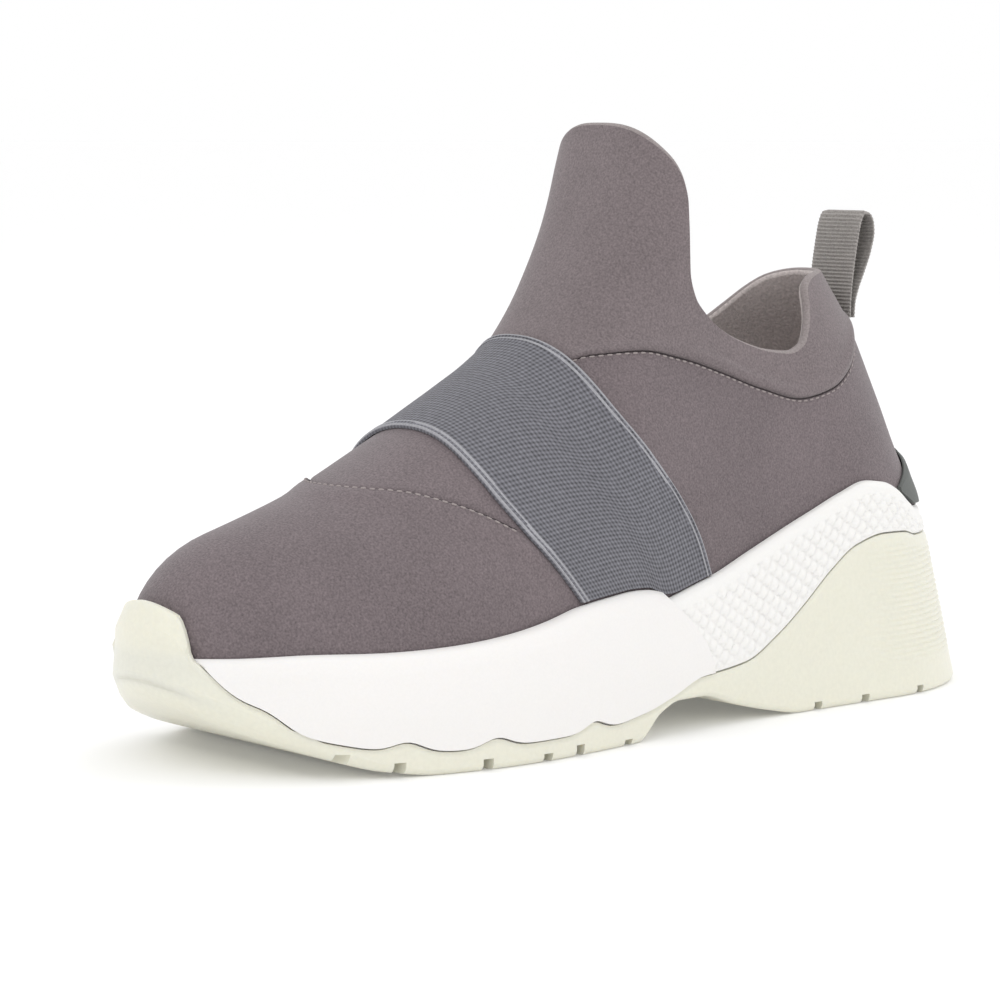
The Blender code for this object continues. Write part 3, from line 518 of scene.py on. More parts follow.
def floor_top(station: Grid) -> Grid:
    """Height of the inside of the outsole's floor."""
    thick = ground_table(station) + FLOOR_THICKNESS * floor_table(station)
    return np.minimum(thick, outsole_edge(station) - FLOOR_UNDER_EDGE)


def side_swell(station: Grid, height: Grid) -> Grid:
    """How far the sole's side stands out from the edge of the footbed at a height."""
    rim = rim_height(station)
    depth = np.clip((rim - height) / rim, 0.0, 1.0)
    toe = smooth_step(station, *TOE_SWELL_RUN)
    turn = np.minimum(depth / SWELL_SHARE, 1.0) * np.pi / 2
    front = FRONT_SWELL * (1 - 0.75 * toe) * np.sin(turn)
    back = 1 - smooth_step(station, *BACK_RUN)
    heel = (HEEL_FLARE + BACK_FLARE * back) * depth - BACK_LIP_CUT * back
    share = 1 - smooth_step(station, *HEEL_RUN)
    return RIM_LIP * (1 - 0.45 * toe) + front + (heel - front) * share


def skin_offset(base: Grid, normals: Grid, heights: Grid) -> Grid:
    """How far the upper's skin stands out from the footbed's edge at given heights."""
    low, high = (np.full(len(base), end) for end in SKIN_SEARCH)
    for _ in range(SKIN_HALVINGS):
        middle = (low + high) / 2
        at = base + normals * middle[:, None]
        station, side = station_of(at), at[:, 0] - centre_offset(station_of(at))
        inside = np.abs(side) < half_width(np.sign(side), station, heights)
        low, high = np.where(inside, middle, low), np.where(inside, high, middle)
    return low


def wrap_ring(base: Grid, normals: Grid, height_of: Heights, out: float) -> Grid:
    """A ring on the inside of the outsole's wrap.

    Args:
        base: ring along the footbed's edge.
        normals: its outward level normals.
        height_of: height at each station.
        out: how far the ring is moved out.

    Returns:
        The ring's points.
    """
    station = station_of(base)
    height, rim = height_of(station), rim_height(station)
    lean = skin_offset(base, normals, height) + FACET_ALLOWANCE
    lean = lean + CUP_WALL * (1 - smooth_step(height, *(rim + end for end in CUP_FADE)))
    thick = WRAP_THICKNESS + TOE_WRAP * smooth_step(station, *TOE_WRAP_RUN)
    offset = np.maximum(side_swell(station, height) - thick, lean)
    ring = base + normals * (offset + out)[:, None]
    ring[:, 2] = height
    return ring


def side_ring(base: Grid, normals: Grid, heights: Grid, out: Grid | float) -> Grid:
    """A ring on the outside of the sole at given heights, moved out as in wrap_ring."""
    station = station_of(base)
    ring = base + normals * (side_swell(station, heights) + out)[:, None]
    ring[:, 2] = heights
    return ring


def blend(low: Heights, high: Heights, share: float) -> Heights:
    """A function of station that lies between two others."""
    return lambda station: low(station) * (1 - share) + high(station) * share


# Line in side view where the front midsole's round lobe meets the rear midsole: each a station
# and a height as a share of the heel's footbed.
LOBE = (
    (0.520, 1.60), (0.500, 1.12), (0.4807, 0.915), (0.466, 0.82), (0.452, 0.73), (0.436, 0.592),
    (0.4255, 0.442), (0.4225, 0.30), (0.4240, 0.10),
)
BEYOND_ENDS = 0.3
CUT_REACH = 0.1


def lobe_cutter(side: int, name: str) -> Thing:
    """Makes a prism along the lobe's line.

    Args:
        side: 1 to take away all behind the line, -1 to take away all in front.
        name: the cutter's name.

    Returns:
        The cutter.
    """
    line = [(along(station), height * HEEL_BED) for station, height in LOBE]
    gap = -side * CLEARANCE / 2
    far = along(-BEYOND_ENDS if side > 0 else 1 + BEYOND_ENDS)
    outline = [(far, line[-1][1])] + [(y + gap, z) for y, z in line[::-1]] + [(far, line[0][1])]
    bm = bmesh.new()
    ends = [[bm.verts.new((x, y, z)) for y, z in outline] for x in (-CUT_REACH, CUT_REACH)]
    bm.faces.new(ends[0])
    bm.faces.new(ends[1][::-1])
    for i in range(len(outline)):
        j = (i + 1) % len(outline)
        bm.faces.new((ends[0][i], ends[1][i], ends[1][j], ends[0][j]))
    bmesh.ops.recalc_face_normals(bm, faces=bm.faces)
    return put_mesh(name, bm)


# Grooves across the outsole, each a station and a share of the lugs' depth.
GROOVES = (
    (0.108, 0.8), (0.196, 0.8), (0.268, 0.8), (0.558, 0.6), (0.630, 1.0), (0.674, 0.75),
    (0.746, 1.0), (0.836, 0.95), (0.886, 0.75),
)


# Front and back edges of the strap from the midsole's rim up to the ridge, heights as shares
# of the instep's rise. The first row gives only the station at the rim, the last at the ridge.
STRAP_FRONT = ((0.600,), (0.634, 0.669), (0.661, 0.789), (0.680, 0.911), (0.689, 1.030), (0.691,))
STRAP_BACK = ((0.404,), (0.419, 0.683), (0.447, 0.838), (0.484, 1.010), (0.521, 1.194), (0.549,))
# Path of the loop's ribbon in side view: station, and height over its foot as a share of its rise.
LOOP_FOOT = 0.1065
LOOP_PATH = (
    (0.0940, -0.05), (0.0938, 0.06), (0.0925, 0.22), (0.0890, 0.45), (0.0835, 0.72),
    (0.0785, 0.90), (0.0720, 0.985), (0.0655, 0.975), (0.0595, 0.900), (0.0580, 0.800),
    (0.0625, 0.620), (0.0720, 0.420), (0.0815, 0.240), (0.0870, 0.080), (0.0880, -0.05),
)


def ease(count: int) -> Grid:
    """Shares from 0 to 1, closer together at both ends."""
    return 0.5 - 0.5 * np.cos(np.pi * np.linspace(0.0, 1.0, count + 1))


def ridge_run(start: float, end: float, shares: Grid) -> Grid:
    """(station, height) pairs up the ridge between two stations, at shares of its length."""
    fine = start + (end - start) * np.linspace(0, 1, FINE_STEPS) ** 2
    line = np.stack([fine, bed_height(fine) + ridge_rise(fine)], axis=-1)
    length = np.hypot(np.diff(line[:, 0]) * UPPER_LENGTH, np.diff(line[:, 1]))
    total = np.concatenate([[0.0], np.cumsum(length)])
    at = shares * total[-1]
    return np.stack([np.interp(at, total, line[:, k]) for k in (0, 1)], axis=-1)


def side_patch(
    bottom: Grid, top: Grid, back: Grid, ridge: Grid, shares: Grid, rise: Grid
) -> Grid:
    """Fills the side view between four lines.

    Args:
        bottom: the lowest line, from heel to ridge.
        top: the highest line.
        back: the line up the heel.
        ridge: the line up the ridge.
        shares: shares along the rows.
        rise: shares up the columns.

    Returns:
        Rows of (station, height) pairs.
    """
    s, v = shares[None, :, None], rise[:, None, None]
    across = (1 - v) * bottom[None] + v * top[None]
    back_bend = back[:, None] - ((1 - v) * back[0] + v * back[-1])
    ridge_bend = ridge[:, None] - ((1 - v) * ridge[0] + v * ridge[-1])
    return across + (1 - s) ** 3 * back_bend + s**3 * ridge_bend


def skin_rings(outer_rows: Grid, inner_rows: Grid) -> Grid:
    """Closed rings on the skin from each side's rows of (station, height) pairs."""
    rings = []
    for outer_row, inner_row in zip(outer_rows, inner_rows):
        outer = skin(1.0, outer_row[:, 0], outer_row[:, 1])
        inner = skin(-1.0, inner_row[:, 0], inner_row[:, 1])
        outer[[0, -1], 0] = centre_offset(outer_row[[0, -1], 0])
        rings.append(closed_ring(outer, inner))
    return np.array(rings)


def row_runs(rings: Grid) -> Grid:
    """Distance of each point from the first ring, measured up its own column."""
    steps = np.linalg.norm(np.diff(rings, axis=0), axis=-1)
    return np.concatenate([np.zeros((1, rings.shape[1])), np.cumsum(steps, axis=0)])


def around_runs(ring: Grid) -> Grid:
    """Distance of each point from the first, measured along a ring."""
    return row_runs(ring[:, None])[:, 0]


def smooth_ring(vectors: Grid) -> Grid:
    """Unit vectors round a ring, each evened out with its neighbours."""
    for _ in range(SMOOTHING_ROUNDS):
        vectors = (np.roll(vectors, 1, axis=0) + 2 * vectors + np.roll(vectors, -1, axis=0)) / 4
    return vectors / np.linalg.norm(vectors, axis=-1, keepdims=True)


# Settings that all finishes share
CLOUD_SCALE = 38.0
SHEEN_ROUGHNESS = 0.45
SCATTER_RADIUS = (1.0, 0.85, 0.6)
SCATTER_SCALE = 0.004
RIB_SHADES = (0.35, 1.35)
WHITE_LIGHT = (1.0, 1.0, 1.0, 1.0)


def plug(tree: Tree, node: bpy.types.Node, inputs: dict) -> bpy.types.Node:
    """Links each input that is given a socket, and sets each that is given a value."""
    for name, value in inputs.items():
        if isinstance(value, Socket):
            tree.links.new(value, node.inputs[name])
        else:
            node.inputs[name].default_value = value
    return node


def add_node(tree: Tree, kind: str, inputs: dict, **settings: str) -> bpy.types.Node:
    """Adds a shader node.

    Args:
        tree: the material's nodes.
        kind: the node's type, without its prefix.
        inputs: a value or a socket for each input.
        settings: the node's own settings, which come before its inputs.

    Returns:
        The node.
    """
    node = tree.nodes.new("ShaderNode" + kind)
    for name, value in settings.items():
        setattr(node, name, value)
    return plug(tree, node, inputs)


def add_math(tree: Tree, operation: str, first: Socket | float, second: Socket | float) -> Socket:
    """Adds a math node and returns its value."""
    return add_node(tree, "Math", {0: first, 1: second}, operation=operation).outputs[0]


class Weave(Enum):
    """How a finish is patterned."""

    GRAIN = "grain"
    RIB = "rib"


@dataclass(frozen=True)
class Finish:
    """A surface's colour and texture.

    Attributes:
        name: the record's material slot, or a name that starts with it.
        colour: linear base colour.
        roughness: the shader's roughness.
        weave: kind of pattern.
        pitch: size of the pattern's smallest feature, in metres.
        relief: depth of the pattern's bump, in metres.
        sheen: weight of the fuzz.
        mottle: how far the colour strays, as a share.
        through: weight of the light that passes under the surface.
    """

    name: str
    colour: tuple[float, float, float]
    roughness: float
    weave: Weave = Weave.GRAIN
    pitch: float = 0.001
    relief: float = 0.0001
    sheen: float = 0.0
    mottle: float = 0.06
    through: float = 0.0

    def material(self) -> bpy.types.Material:
        """Builds the material.

        Returns:
            The Principled material, patterned on object coordinates or the piece's run.
        """
        made = bpy.data.materials.new(self.name)
        made.use_nodes = True
        tree = made.node_tree
        place = add_node(tree, "TexCoord", {}).outputs["Object"]
        grain, cloud = (
            add_node(
                tree, "TexNoise", {"Scale": scale, "Detail": detail, "Vector": place}
            ).outputs["Fac"]
            for scale, detail in ((1.0 / self.pitch, 3.0), (CLOUD_SCALE, 2.0))
        )
        share = add_math(tree, "ADD", add_math(tree, "MULTIPLY", grain, 1.8), -0.6)
        share = add_math(tree, "ADD", share, add_math(tree, "MULTIPLY", cloud, 0.4))
        dark = [c * (1 - self.mottle) for c in self.colour]
        light = [min(1.0, c * (1 + self.mottle)) for c in self.colour]
        tones = {"A": (*dark, 1.0), "B": (*light, 1.0), "Factor": share}
        colour = add_node(tree, "Mix", tones, data_type="RGBA").outputs["Result"]
        height = grain
        if self.weave is Weave.RIB:
            height = self._ribs(tree, grain)
            low, high = RIB_SHADES
            ramp = add_node(tree, "MapRange", {"To Min": low, "To Max": high, "Value": height})
            both = {"Factor": 1.0, "A": colour, "B": ramp.outputs["Result"]}
            shade = add_node(tree, "Mix", both, data_type="RGBA", blend_type="MULTIPLY")
            colour = shade.outputs["Result"]
        bump = add_node(tree, "Bump", {"Strength": 1.0, "Distance": self.relief, "Height": height})
        surface = {
            "Base Color": colour,
            "Normal": bump.outputs["Normal"],
            "Roughness": self.roughness,
            "Sheen Weight": self.sheen,
            "Sheen Roughness": SHEEN_ROUGHNESS,
            "Subsurface Weight": self.through,
            "Subsurface Radius": SCATTER_RADIUS,
            "Subsurface Scale": SCATTER_SCALE,
        }
        plug(tree, tree.nodes["Principled BSDF"], surface)
        return made

    def _ribs(self, tree: Tree, grain: Socket) -> Socket:
        """Slanted ribs that follow the piece's own run, roughened by its grain."""
        run = add_node(tree, "Attribute", {}, attribute_name="run").outputs["Vector"]
        split = add_node(tree, "SeparateXYZ", {"Vector": run}).outputs
        height = 0.36
        for axis, pitch, depth in (("X", self.pitch, 0.27), ("Y", self.pitch * 1.25, 0.25)):
            turn = add_math(tree, "MULTIPLY", split[axis], 2 * np.pi / pitch)
            wave = add_math(tree, "MULTIPLY", add_math(tree, "SINE", turn, 0.0), depth)
            height = add_math(tree, "ADD", wave, height)
        return add_math(tree, "ADD", height, add_math(tree, "MULTIPLY", grain, 0.35))


KNIT = Finish(
    "bootie_knit", (0.158, 0.127, 0.134), 0.76, pitch=0.00055, relief=0.00020, sheen=0.18,
    mottle=0.42,
)
COLLAR_KNIT = Finish(
    "bootie_collar", (0.174, 0.142, 0.147), 0.76, pitch=0.00055, relief=0.00018, sheen=0.18,
    mottle=0.38,
)
HEM = Finish(
    "bootie_hem", (0.280, 0.243, 0.240), 0.80, pitch=0.00055, relief=0.00018, sheen=0.10,
    mottle=0.25,
)
LINING = Finish(
    "bootie_lining", (0.600, 0.540, 0.525), 0.92, pitch=0.00080, relief=0.00035, sheen=0.10,
    mottle=0.25,
)
# Painted shade: a near-black cloth laid on the faces along the collar and vamp seams, for the
# shadow in each seam's groove.
SEAM_SHADE = Finish("bootie_seam_shade", (0.050, 0.040, 0.042), 0.90, pitch=0.0004, relief=0.0001)
STITCH = Finish("bootie_stitch", (0.330, 0.285, 0.280), 0.70, pitch=0.0004, relief=0.00005)
WHITE = Finish(
    "midsole_white", (0.84, 0.822, 0.806), 0.50, pitch=0.0007, relief=0.00003, mottle=0.015,
    through=0.08,
)
QUILT = Finish(
    "quilted_white", (0.86, 0.85, 0.83), 0.48, pitch=0.0007, relief=0.00003, mottle=0.015,
    through=0.04,
)
RUBBER = Finish(
    "cream_rubber", (0.77, 0.755, 0.645), 0.33, pitch=0.0012, relief=0.00004, mottle=0.03,
    through=0.20,
)
ELASTIC = Finish(
    "strap_elastic", (0.165, 0.164, 0.186), 0.80, weave=Weave.RIB, pitch=0.0011, relief=0.00032,
    sheen=0.10, mottle=0.12,
)
CORD = Finish(
    "strap_cord", (0.350, 0.348, 0.372), 0.75, pitch=0.0005, relief=0.0001, sheen=0.10,
    mottle=0.25,
)
OVERLAY = Finish("counter_overlay", (0.110, 0.118, 0.112), 0.65, pitch=0.0009, relief=0.0001)
RIBBON = Finish(
    "ribbon_taupe", (0.320, 0.300, 0.285), 0.85, pitch=0.0005, relief=0.00015, sheen=0.12,
    mottle=0.35,
)
INSOLE = Finish(
    "insole_fabric", (0.30, 0.27, 0.26), 0.92, pitch=0.0008, relief=0.0003, sheen=0.1,
    mottle=0.45,
)


def put(name: str, data: bpy.types.ID) -> Thing:
    """Makes an object and links it to the scene."""
    made = bpy.data.objects.new(name, data)
    bpy.context.scene.collection.objects.link(made)
    return made


def put_mesh(name: str, bm: bmesh.types.BMesh) -> Thing:
    """Makes an object of a mesh under construction, which is freed."""
    mesh = bpy.data.meshes.new(name)
    bm.to_mesh(mesh)
    bm.free()
    return put(name, mesh)


def cut(made: Thing, cutter: Thing) -> None:
    """Takes a cutter's shape out of an object and removes the cutter."""
    modifier = made.modifiers.new("cut", "BOOLEAN")
    modifier.operation = "DIFFERENCE"
    modifier.solver = "EXACT"
    modifier.object = cutter
    result = bpy.data.meshes.new_from_object(
        made.evaluated_get(bpy.context.evaluated_depsgraph_get())
    )
    made.modifiers.clear()
    old, made.data = made.data, result
    bpy.data.meshes.remove(old)
    bpy.data.objects.remove(cutter)
    made.data.set_sharp_from_angle(angle=np.radians(SHARP_DEGREES))


class Assembly(ABC):
    """A part of the shoe that makes its own pieces."""

    @abstractmethod
    def build(self) -> list[Thing]:
        """Makes the part.

        Returns:
            Its objects.
        """


@dataclass
class Piece:
    """One named piece of the shoe, gathered face by face.

    Attributes:
        name: the object's name.
        finishes: its materials, in the order the faces count them.
        slot: the record's material slot; not used.
        nodes: CAD nodes it stands for.
    """

    name: str
    finishes: Sequence[Finish]
    slot: str
    nodes: Sequence[str] = ()
    points: list = field(default_factory=list)
    faces: list = field(default_factory=list)
    kinds: list = field(default_factory=list)
    runs: list = field(default_factory=list)

    def add_points(self, grid: Grid, runs: Grid | None = None) -> Grid:
        """Adds rows of points.

        Args:
            grid: rows of points, (rows, columns, 3).
            runs: distances along and across the piece, (rows, columns, 2).

        Returns:
            The points' numbers, (rows, columns).
        """
        rows, columns = grid.shape[:2]
        ids = np.arange(rows * columns).reshape(rows, columns) + len(self.points)
        self.points.extend(map(tuple, grid.reshape(-1, 3)))
        flat = np.zeros((rows * columns, 2)) if runs is None else runs.reshape(-1, 2)
        self.runs.extend((u, v, 0.0) for u, v in flat)
        return ids

    def add_grid(self, grid: Grid, wrap: bool = False, runs: Grid | None = None) -> Grid:
        """Adds rows of points and the faces between them, as add_points and join do."""
        ids = self.add_points(grid, runs)
        self.join(ids, wrap=wrap)
        return ids

    def add_solid(self, rings: Sequence[Grid]) -> None:
        """Adds a stack of closed rings, with a cap on the first and the last."""
        ids = self.add_grid(np.array(rings), wrap=True)
        self.cap(ids[0])
        self.cap(ids[-1])

    def add_shell(
        self, under: Grid, over: Grid, runs: Grid | None = None, kinds: Grid | None = None
    ) -> None:
        """Adds two grids and closes the gap along their four edges.

        Args:
            under: rows of points of the lower side.
            over: rows of points of the upper side.
            runs: distances along and across the piece.
            kinds: material index at each point of the upper side.
        """
        low = self.add_grid(under, runs=runs)
        start = len(self.kinds)
        top = self.add_grid(over, runs=runs)
        if kinds is not None:
            self.kinds[start:] = [int(kind) for kind in kinds[:-1, :-1].ravel()]
        for a, b in ((low[0], top[0]), (top[-1], low[-1])):
            self.join(np.array([a, b]))
        for a, b in ((top[:, 0], low[:, 0]), (low[:, -1], top[:, -1])):
            self.join(np.array([a, b]))

    def join(self, ids: Grid, kind: int = 0, wrap: bool = False) -> None:
        """Joins rows of point numbers with faces.

        Args:
            ids: the points' numbers, (rows, columns).
            kind: material index of the faces.
            wrap: joins each row's end to its start.
        """
        columns = ids.shape[1]
        for low, high in zip(ids, ids[1:]):
            for i in range(columns if wrap else columns - 1):
                j = (i + 1) % columns
                self.faces.append((low[i], low[j], high[j], high[i]))
                self.kinds.append(kind)

    def cap(self, ids: Grid) -> None:
        """Closes a ring with strips across it."""
        count = len(ids)
        for i in range(count // 2):
            corners = [ids[i], ids[i + 1], ids[(count - i - 1) % count], ids[(count - i) % count]]
            self.faces.append(tuple(dict.fromkeys(corners)))
            self.kinds.append(0)

    def build(self) -> Thing:
        """Makes the object, with its faces pointing out.

        Returns:
            The object, riding on the root body.
        """
        mesh = bpy.data.meshes.new(self.name)
        mesh.from_pydata(self.points, [], [tuple(int(i) for i in f) for f in self.faces])
        mesh.polygons.foreach_set("material_index", self.kinds)
        for finish in self.finishes:
            mesh.materials.append(finish.material())
        run = mesh.attributes.new("run", "FLOAT_VECTOR", "POINT")
        run.data.foreach_set("vector", np.array(self.runs, float).ravel())
        bm = bmesh.new()
        bm.from_mesh(mesh)
        bmesh.ops.recalc_face_normals(bm, faces=bm.faces)
        bm.to_mesh(mesh)
        bm.free()
        mesh.shade_smooth()
        mesh.set_sharp_from_angle(angle=np.radians(SHARP_DEGREES))
        made = put(self.name, mesh)
        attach(made, "root")
        if self.nodes:
            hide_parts(*self.nodes)
        LOG.info("%s: %d faces", self.name, len(self.faces))
        return made


def open_normals(grid: Grid) -> Grid:
    """Unit normals of an open grid of points."""
    down, over = np.gradient(grid, axis=0), np.gradient(grid, axis=1)
    normal = np.cross(down, over)
    return normal / np.linalg.norm(normal, axis=-1, keepdims=True)


# Above this share a place on the cloth counts as free of the strap.
FULLY_SHOWN = 0.95
# A thread's sides, and its rings: place along it and share of its radius.
THREAD_SIDES = 6
THREAD_ENDS = ((-0.5, 0.35), (-0.32, 1.0), (0.32, 1.0), (0.5, 0.35))


@dataclass
class Stitching(Assembly):
    """Short threads along a seam, half sunk in the cloth.

    Attributes:
        name: the piece's name.
        line: points of the seam on the cloth, in order.
        normals: the cloth's normal at each point.
        shown: whether the cloth shows at each point.
        pitch: distance from one thread to the next.
        length: length of one thread.
        radius: half a thread's thickness.
        lift: how far a thread's middle lies above the cloth.
    """

    name: str
    line: Grid
    normals: Grid
    shown: Grid
    pitch: float = 0.0024
    length: float = 0.0015
    radius: float = 0.00026
    lift: float = 0.00012

    def build(self) -> list[Thing]:
        """Makes the threads as one piece."""
        piece = Piece(self.name, (STITCH,), "bootie_knit")
        run = around_runs(self.line)
        at = (np.arange(int(run[-1] / self.pitch)) + 0.5) * self.pitch
        columns = np.concatenate([self.line, self.normals, self.shown[:, None]], axis=1)
        spread = np.stack([np.interp(at, run, column) for column in columns.T], axis=-1)
        ahead = np.gradient(spread[:, :3], axis=0)
        ahead /= np.linalg.norm(ahead, axis=-1, keepdims=True)
        for row, way in zip(spread, ahead):
            if row[6] > FULLY_SHOWN:
                self._thread(piece, row[:3] + row[3:6] * self.lift, row[3:6], way)
        return [piece.build()]

    def _thread(self, piece: Piece, point: Grid, normal: Grid, way: Grid) -> None:
        """Adds one thread: a short tube with narrowed ends."""
        across = np.cross(normal, way)
        turns = np.linspace(0.0, 2 * np.pi, THREAD_SIDES, endpoint=False)
        rings = []
        for place, share in THREAD_ENDS:
            centre = point + way * place * self.length
            ring = [
                centre + self.radius * share * (np.cos(t) * across + np.sin(t) * normal)
                for t in turns
            ]
            rings.append(ring)
        ids = piece.add_grid(np.array(rings), wrap=True)
        for ring in (ids[0], ids[-1]):
            piece.faces.append(tuple(ring))
            piece.kinds.append(0)


# Creases pressed into the skin: start and end in side view, half width and depth.
CREASES = (
    ((0.470, 0.086), (0.395, 0.074), 0.0045, 0.00055),
    ((0.445, 0.101), (0.385, 0.088), 0.0040, 0.00050),
    ((0.200, 0.076), (0.120, 0.066), 0.0050, 0.00045),
    ((0.700, 0.040), (0.640, 0.030), 0.0060, 0.00035),
)


class Cloth(IntEnum):
    """Material numbers of the bootie's faces."""

    KNIT = 0
    COLLAR = 1
    LINING = 2
    # SEAM is painted shade: the dark cloth for the shadow in the seams' grooves.
    SEAM = 3
    HEM = 4


@dataclass
class Bootie(Assembly):
    """The soft upper: vamp, quarter and collar pieces with their seams, edge and lining.

    Attributes:
        steps: points on each side of a ring.
        rows: rows of the vamp and quarter, of the piece above, and of the collar.
        lip: shares of the way over the topline's edge, from the outside in.
        lip_rise: how far the edge stands up.
        vamp_from: station from which the vamp's seam shows.
        soft_edge: width over which the relief fades beside the strap.
    """

    steps: int = 150
    rows: tuple[int, int, int] = (30, 34, 34)
    lip: tuple[float, ...] = (0.12, 0.3, 0.5, 0.7, 0.88)
    lip_rise: float = 0.0011
    vamp_from: float = 0.63
    soft_edge: float = 0.0015

    def _rings(self) -> Grid:
        """Closed rings on the skin from the footbed to the topline."""
        sides = []
        shares = ring_shares(self.steps)
        start = heel_station(bed_height(0.0) + CLEARANCE)
        at = start + (1 - start) * shares
        bottom = np.stack([at, bed_height(at) + CLEARANCE], axis=-1)
        for top in (TOPLINE, INNER_TOPLINE):
            tables = (VAMP_EDGE, COLLAR_SEAM, top)
            lines = [bottom] + [run_of(table, self.steps) for table in tables]
            patches = []
            for low, high, count in zip(lines, lines[1:], self.rows):
                rise = ease(count)
                ridge = ridge_run(low[-1, 0], high[-1, 0], rise)
                ridge[0] = low[-1]
                heights = low[0, 1] + (high[0, 1] - low[0, 1]) * rise
                back = np.stack([heel_station(heights), heights], axis=-1)
                patch = side_patch(low, high, back, ridge, shares, rise)
                patches.append(patch if not patches else patch[1:])
            sides.append(np.concatenate(patches))
        return skin_rings(*sides)

    def _strapped(self, station: Grid, height: Grid) -> Grid:
        """1 where the strap lies on the skin, 0 away from it."""
        shares = np.linspace(0.0, 1.0, 60)
        sides = []
        for table in (STRAP_FRONT, STRAP_BACK):
            line = strap_line(table, shares)
            sides.append(np.interp(height, line[:, 1], line[:, 0]))
        front, back = sides
        soft = self.soft_edge / UPPER_LENGTH
        behind_front = 1 - smooth_step(station, front, front + soft)
        return smooth_step(station, back - soft, back) * behind_front

    def _relief(self, rings: Grid) -> Grid:
        """How far the skin is raised: the vamp's edge, the collar's puffed edge and creases."""
        station, height = station_of(rings), rings[..., 2]
        run = row_runs(rings)
        first, second = self.rows[0], self.rows[0] + self.rows[1]
        vamp = (run[first] - run) * PER_METRE
        collar = (run - run[second]) * PER_METRE
        shown = smooth_step(station, 0.57, self.vamp_from)
        edge = SEAM_STEP * 1.3 * smooth_step(vamp, -0.02, 0.5) * (1 - smooth_step(vamp, 3.0, 9.0))
        dip = -0.00035 * np.exp(-((vamp + 0.5) ** 2) / 0.30)
        relief = shown * (edge + dip)
        step = SEAM_STEP * smooth_step(collar, -0.05, 0.6)
        puff = 0.00075 * np.exp(-(((collar - 2.2) / 1.7) ** 2))
        groove = -0.00045 * np.exp(-(((collar + 0.05) / 0.40) ** 2))
        relief = (relief + step + puff + groove) * (1 - self._strapped(station, height))
        for (s0, z0), (s1, z1), width, depth in CREASES:
            a = np.array([s0 * UPPER_LENGTH, z0])
            b = np.array([s1 * UPPER_LENGTH, z1]) - a
            to = np.stack([station * UPPER_LENGTH - a[0], height - a[1]], axis=-1)
            t = np.clip((to @ b) / (b @ b), 0.0, 1.0)
            away = np.linalg.norm(to - t[..., None] * b, axis=-1)
            fade = np.sin(np.pi * (0.15 + 0.7 * t))
            relief = relief - depth * np.exp(-((away / width) ** 2)) * fade
        return relief

    def _cloth(self, k: int) -> Cloth:
        """The cloth of the faces over row k of the rows that go up, over the edge and down."""
        seam = self.rows[0] + self.rows[1]
        topline = sum(self.rows)
        # Painted shade: the rows at the collar seam get the dark seam cloth, for the shadow in its
        # groove.
        if seam - 2 <= k <= seam:
            return Cloth.SEAM
        if k < seam:
            return Cloth.KNIT
        if k < topline:
            return Cloth.COLLAR
        if k < topline + len(self.lip) - 1:
            return Cloth.HEM
        return Cloth.LINING

    def build(self) -> list[Thing]:
        """Makes the upper and the stitches beside its two seams."""
        rings = self._rings()
        normals = grid_normals(rings)
        normals[-5:] = smooth_ring(normals[-6])
        outer = rings + normals * self._relief(rings)[..., None]
        inner = rings - normals * WALL
        up = smooth_ring(rings[-1] - rings[-8])
        lip = [
            outer[-1] * (1 - k) + inner[-1] * k + up * self.lip_rise * np.sin(np.pi * k) ** 0.7
            for k in self.lip
        ]
        finishes = (KNIT, COLLAR_KNIT, LINING, SEAM_SHADE, HEM)
        piece = Piece("bootie", finishes, "bootie_knit", ("upper",))
        bare = 1 - self._strapped(station_of(rings), rings[..., 2])
        front = station_of(rings) > self.vamp_from
        ids = piece.add_points(np.concatenate([outer, lip, inner[::-1]]))
        for k in range(len(ids)):
            cloth = int(self._cloth(k))
            piece.join(np.array([ids[k], ids[(k + 1) % len(ids)]]), cloth, wrap=True)
            # Painted shade: where the vamp seam shows, its faces get the same dark seam cloth, for
            # the shadow in its groove.
            if abs(k - self.rows[0]) <= 1:
                dark = (bare[k] * front[k]) > FULLY_SHOWN
                piece.kinds[-len(dark) :] = [int(Cloth.SEAM) if d else cloth for d in dark]
        made = [piece.build()]
        first, second = self.rows[0], self.rows[0] + self.rows[1]
        for name, row, shift, shown in (
            ("vamp_stitches", first, -0.0007, bare[first] * front[first]),
            ("collar_stitches", second, -0.0008, bare[second]),
        ):
            line = self._beside(outer, row_runs(rings), row, shift)
            made += Stitching(name, line, normals[row], shown).build()
        return made

    @staticmethod
    def _beside(outer: Grid, run: Grid, row: int, shift: float) -> Grid:
        """The line on the cloth at a distance up from a seam's row, or down where negative."""
        return np.array(
            [
                [np.interp(run[row, j] + shift, run[:, j], outer[:, j, k]) for k in range(3)]
                for j in range(outer.shape[1])
            ]
        )


def strap_line(table: tuple, shares: Grid) -> Grid:
    """(station, height) pairs from the rim to the ridge at shares of the strap's run."""
    first, last = table[0][0], table[-1][0]
    rows = [(first, float(rim_height(first)) + OVER_RIM)]
    rows += [(station, height * INSTEP_RISE) for station, height in table[1:-1]]
    rows.append((last, float(bed_height(last) + ridge_rise(last))))
    return spread_line(np.array(rows), shares)


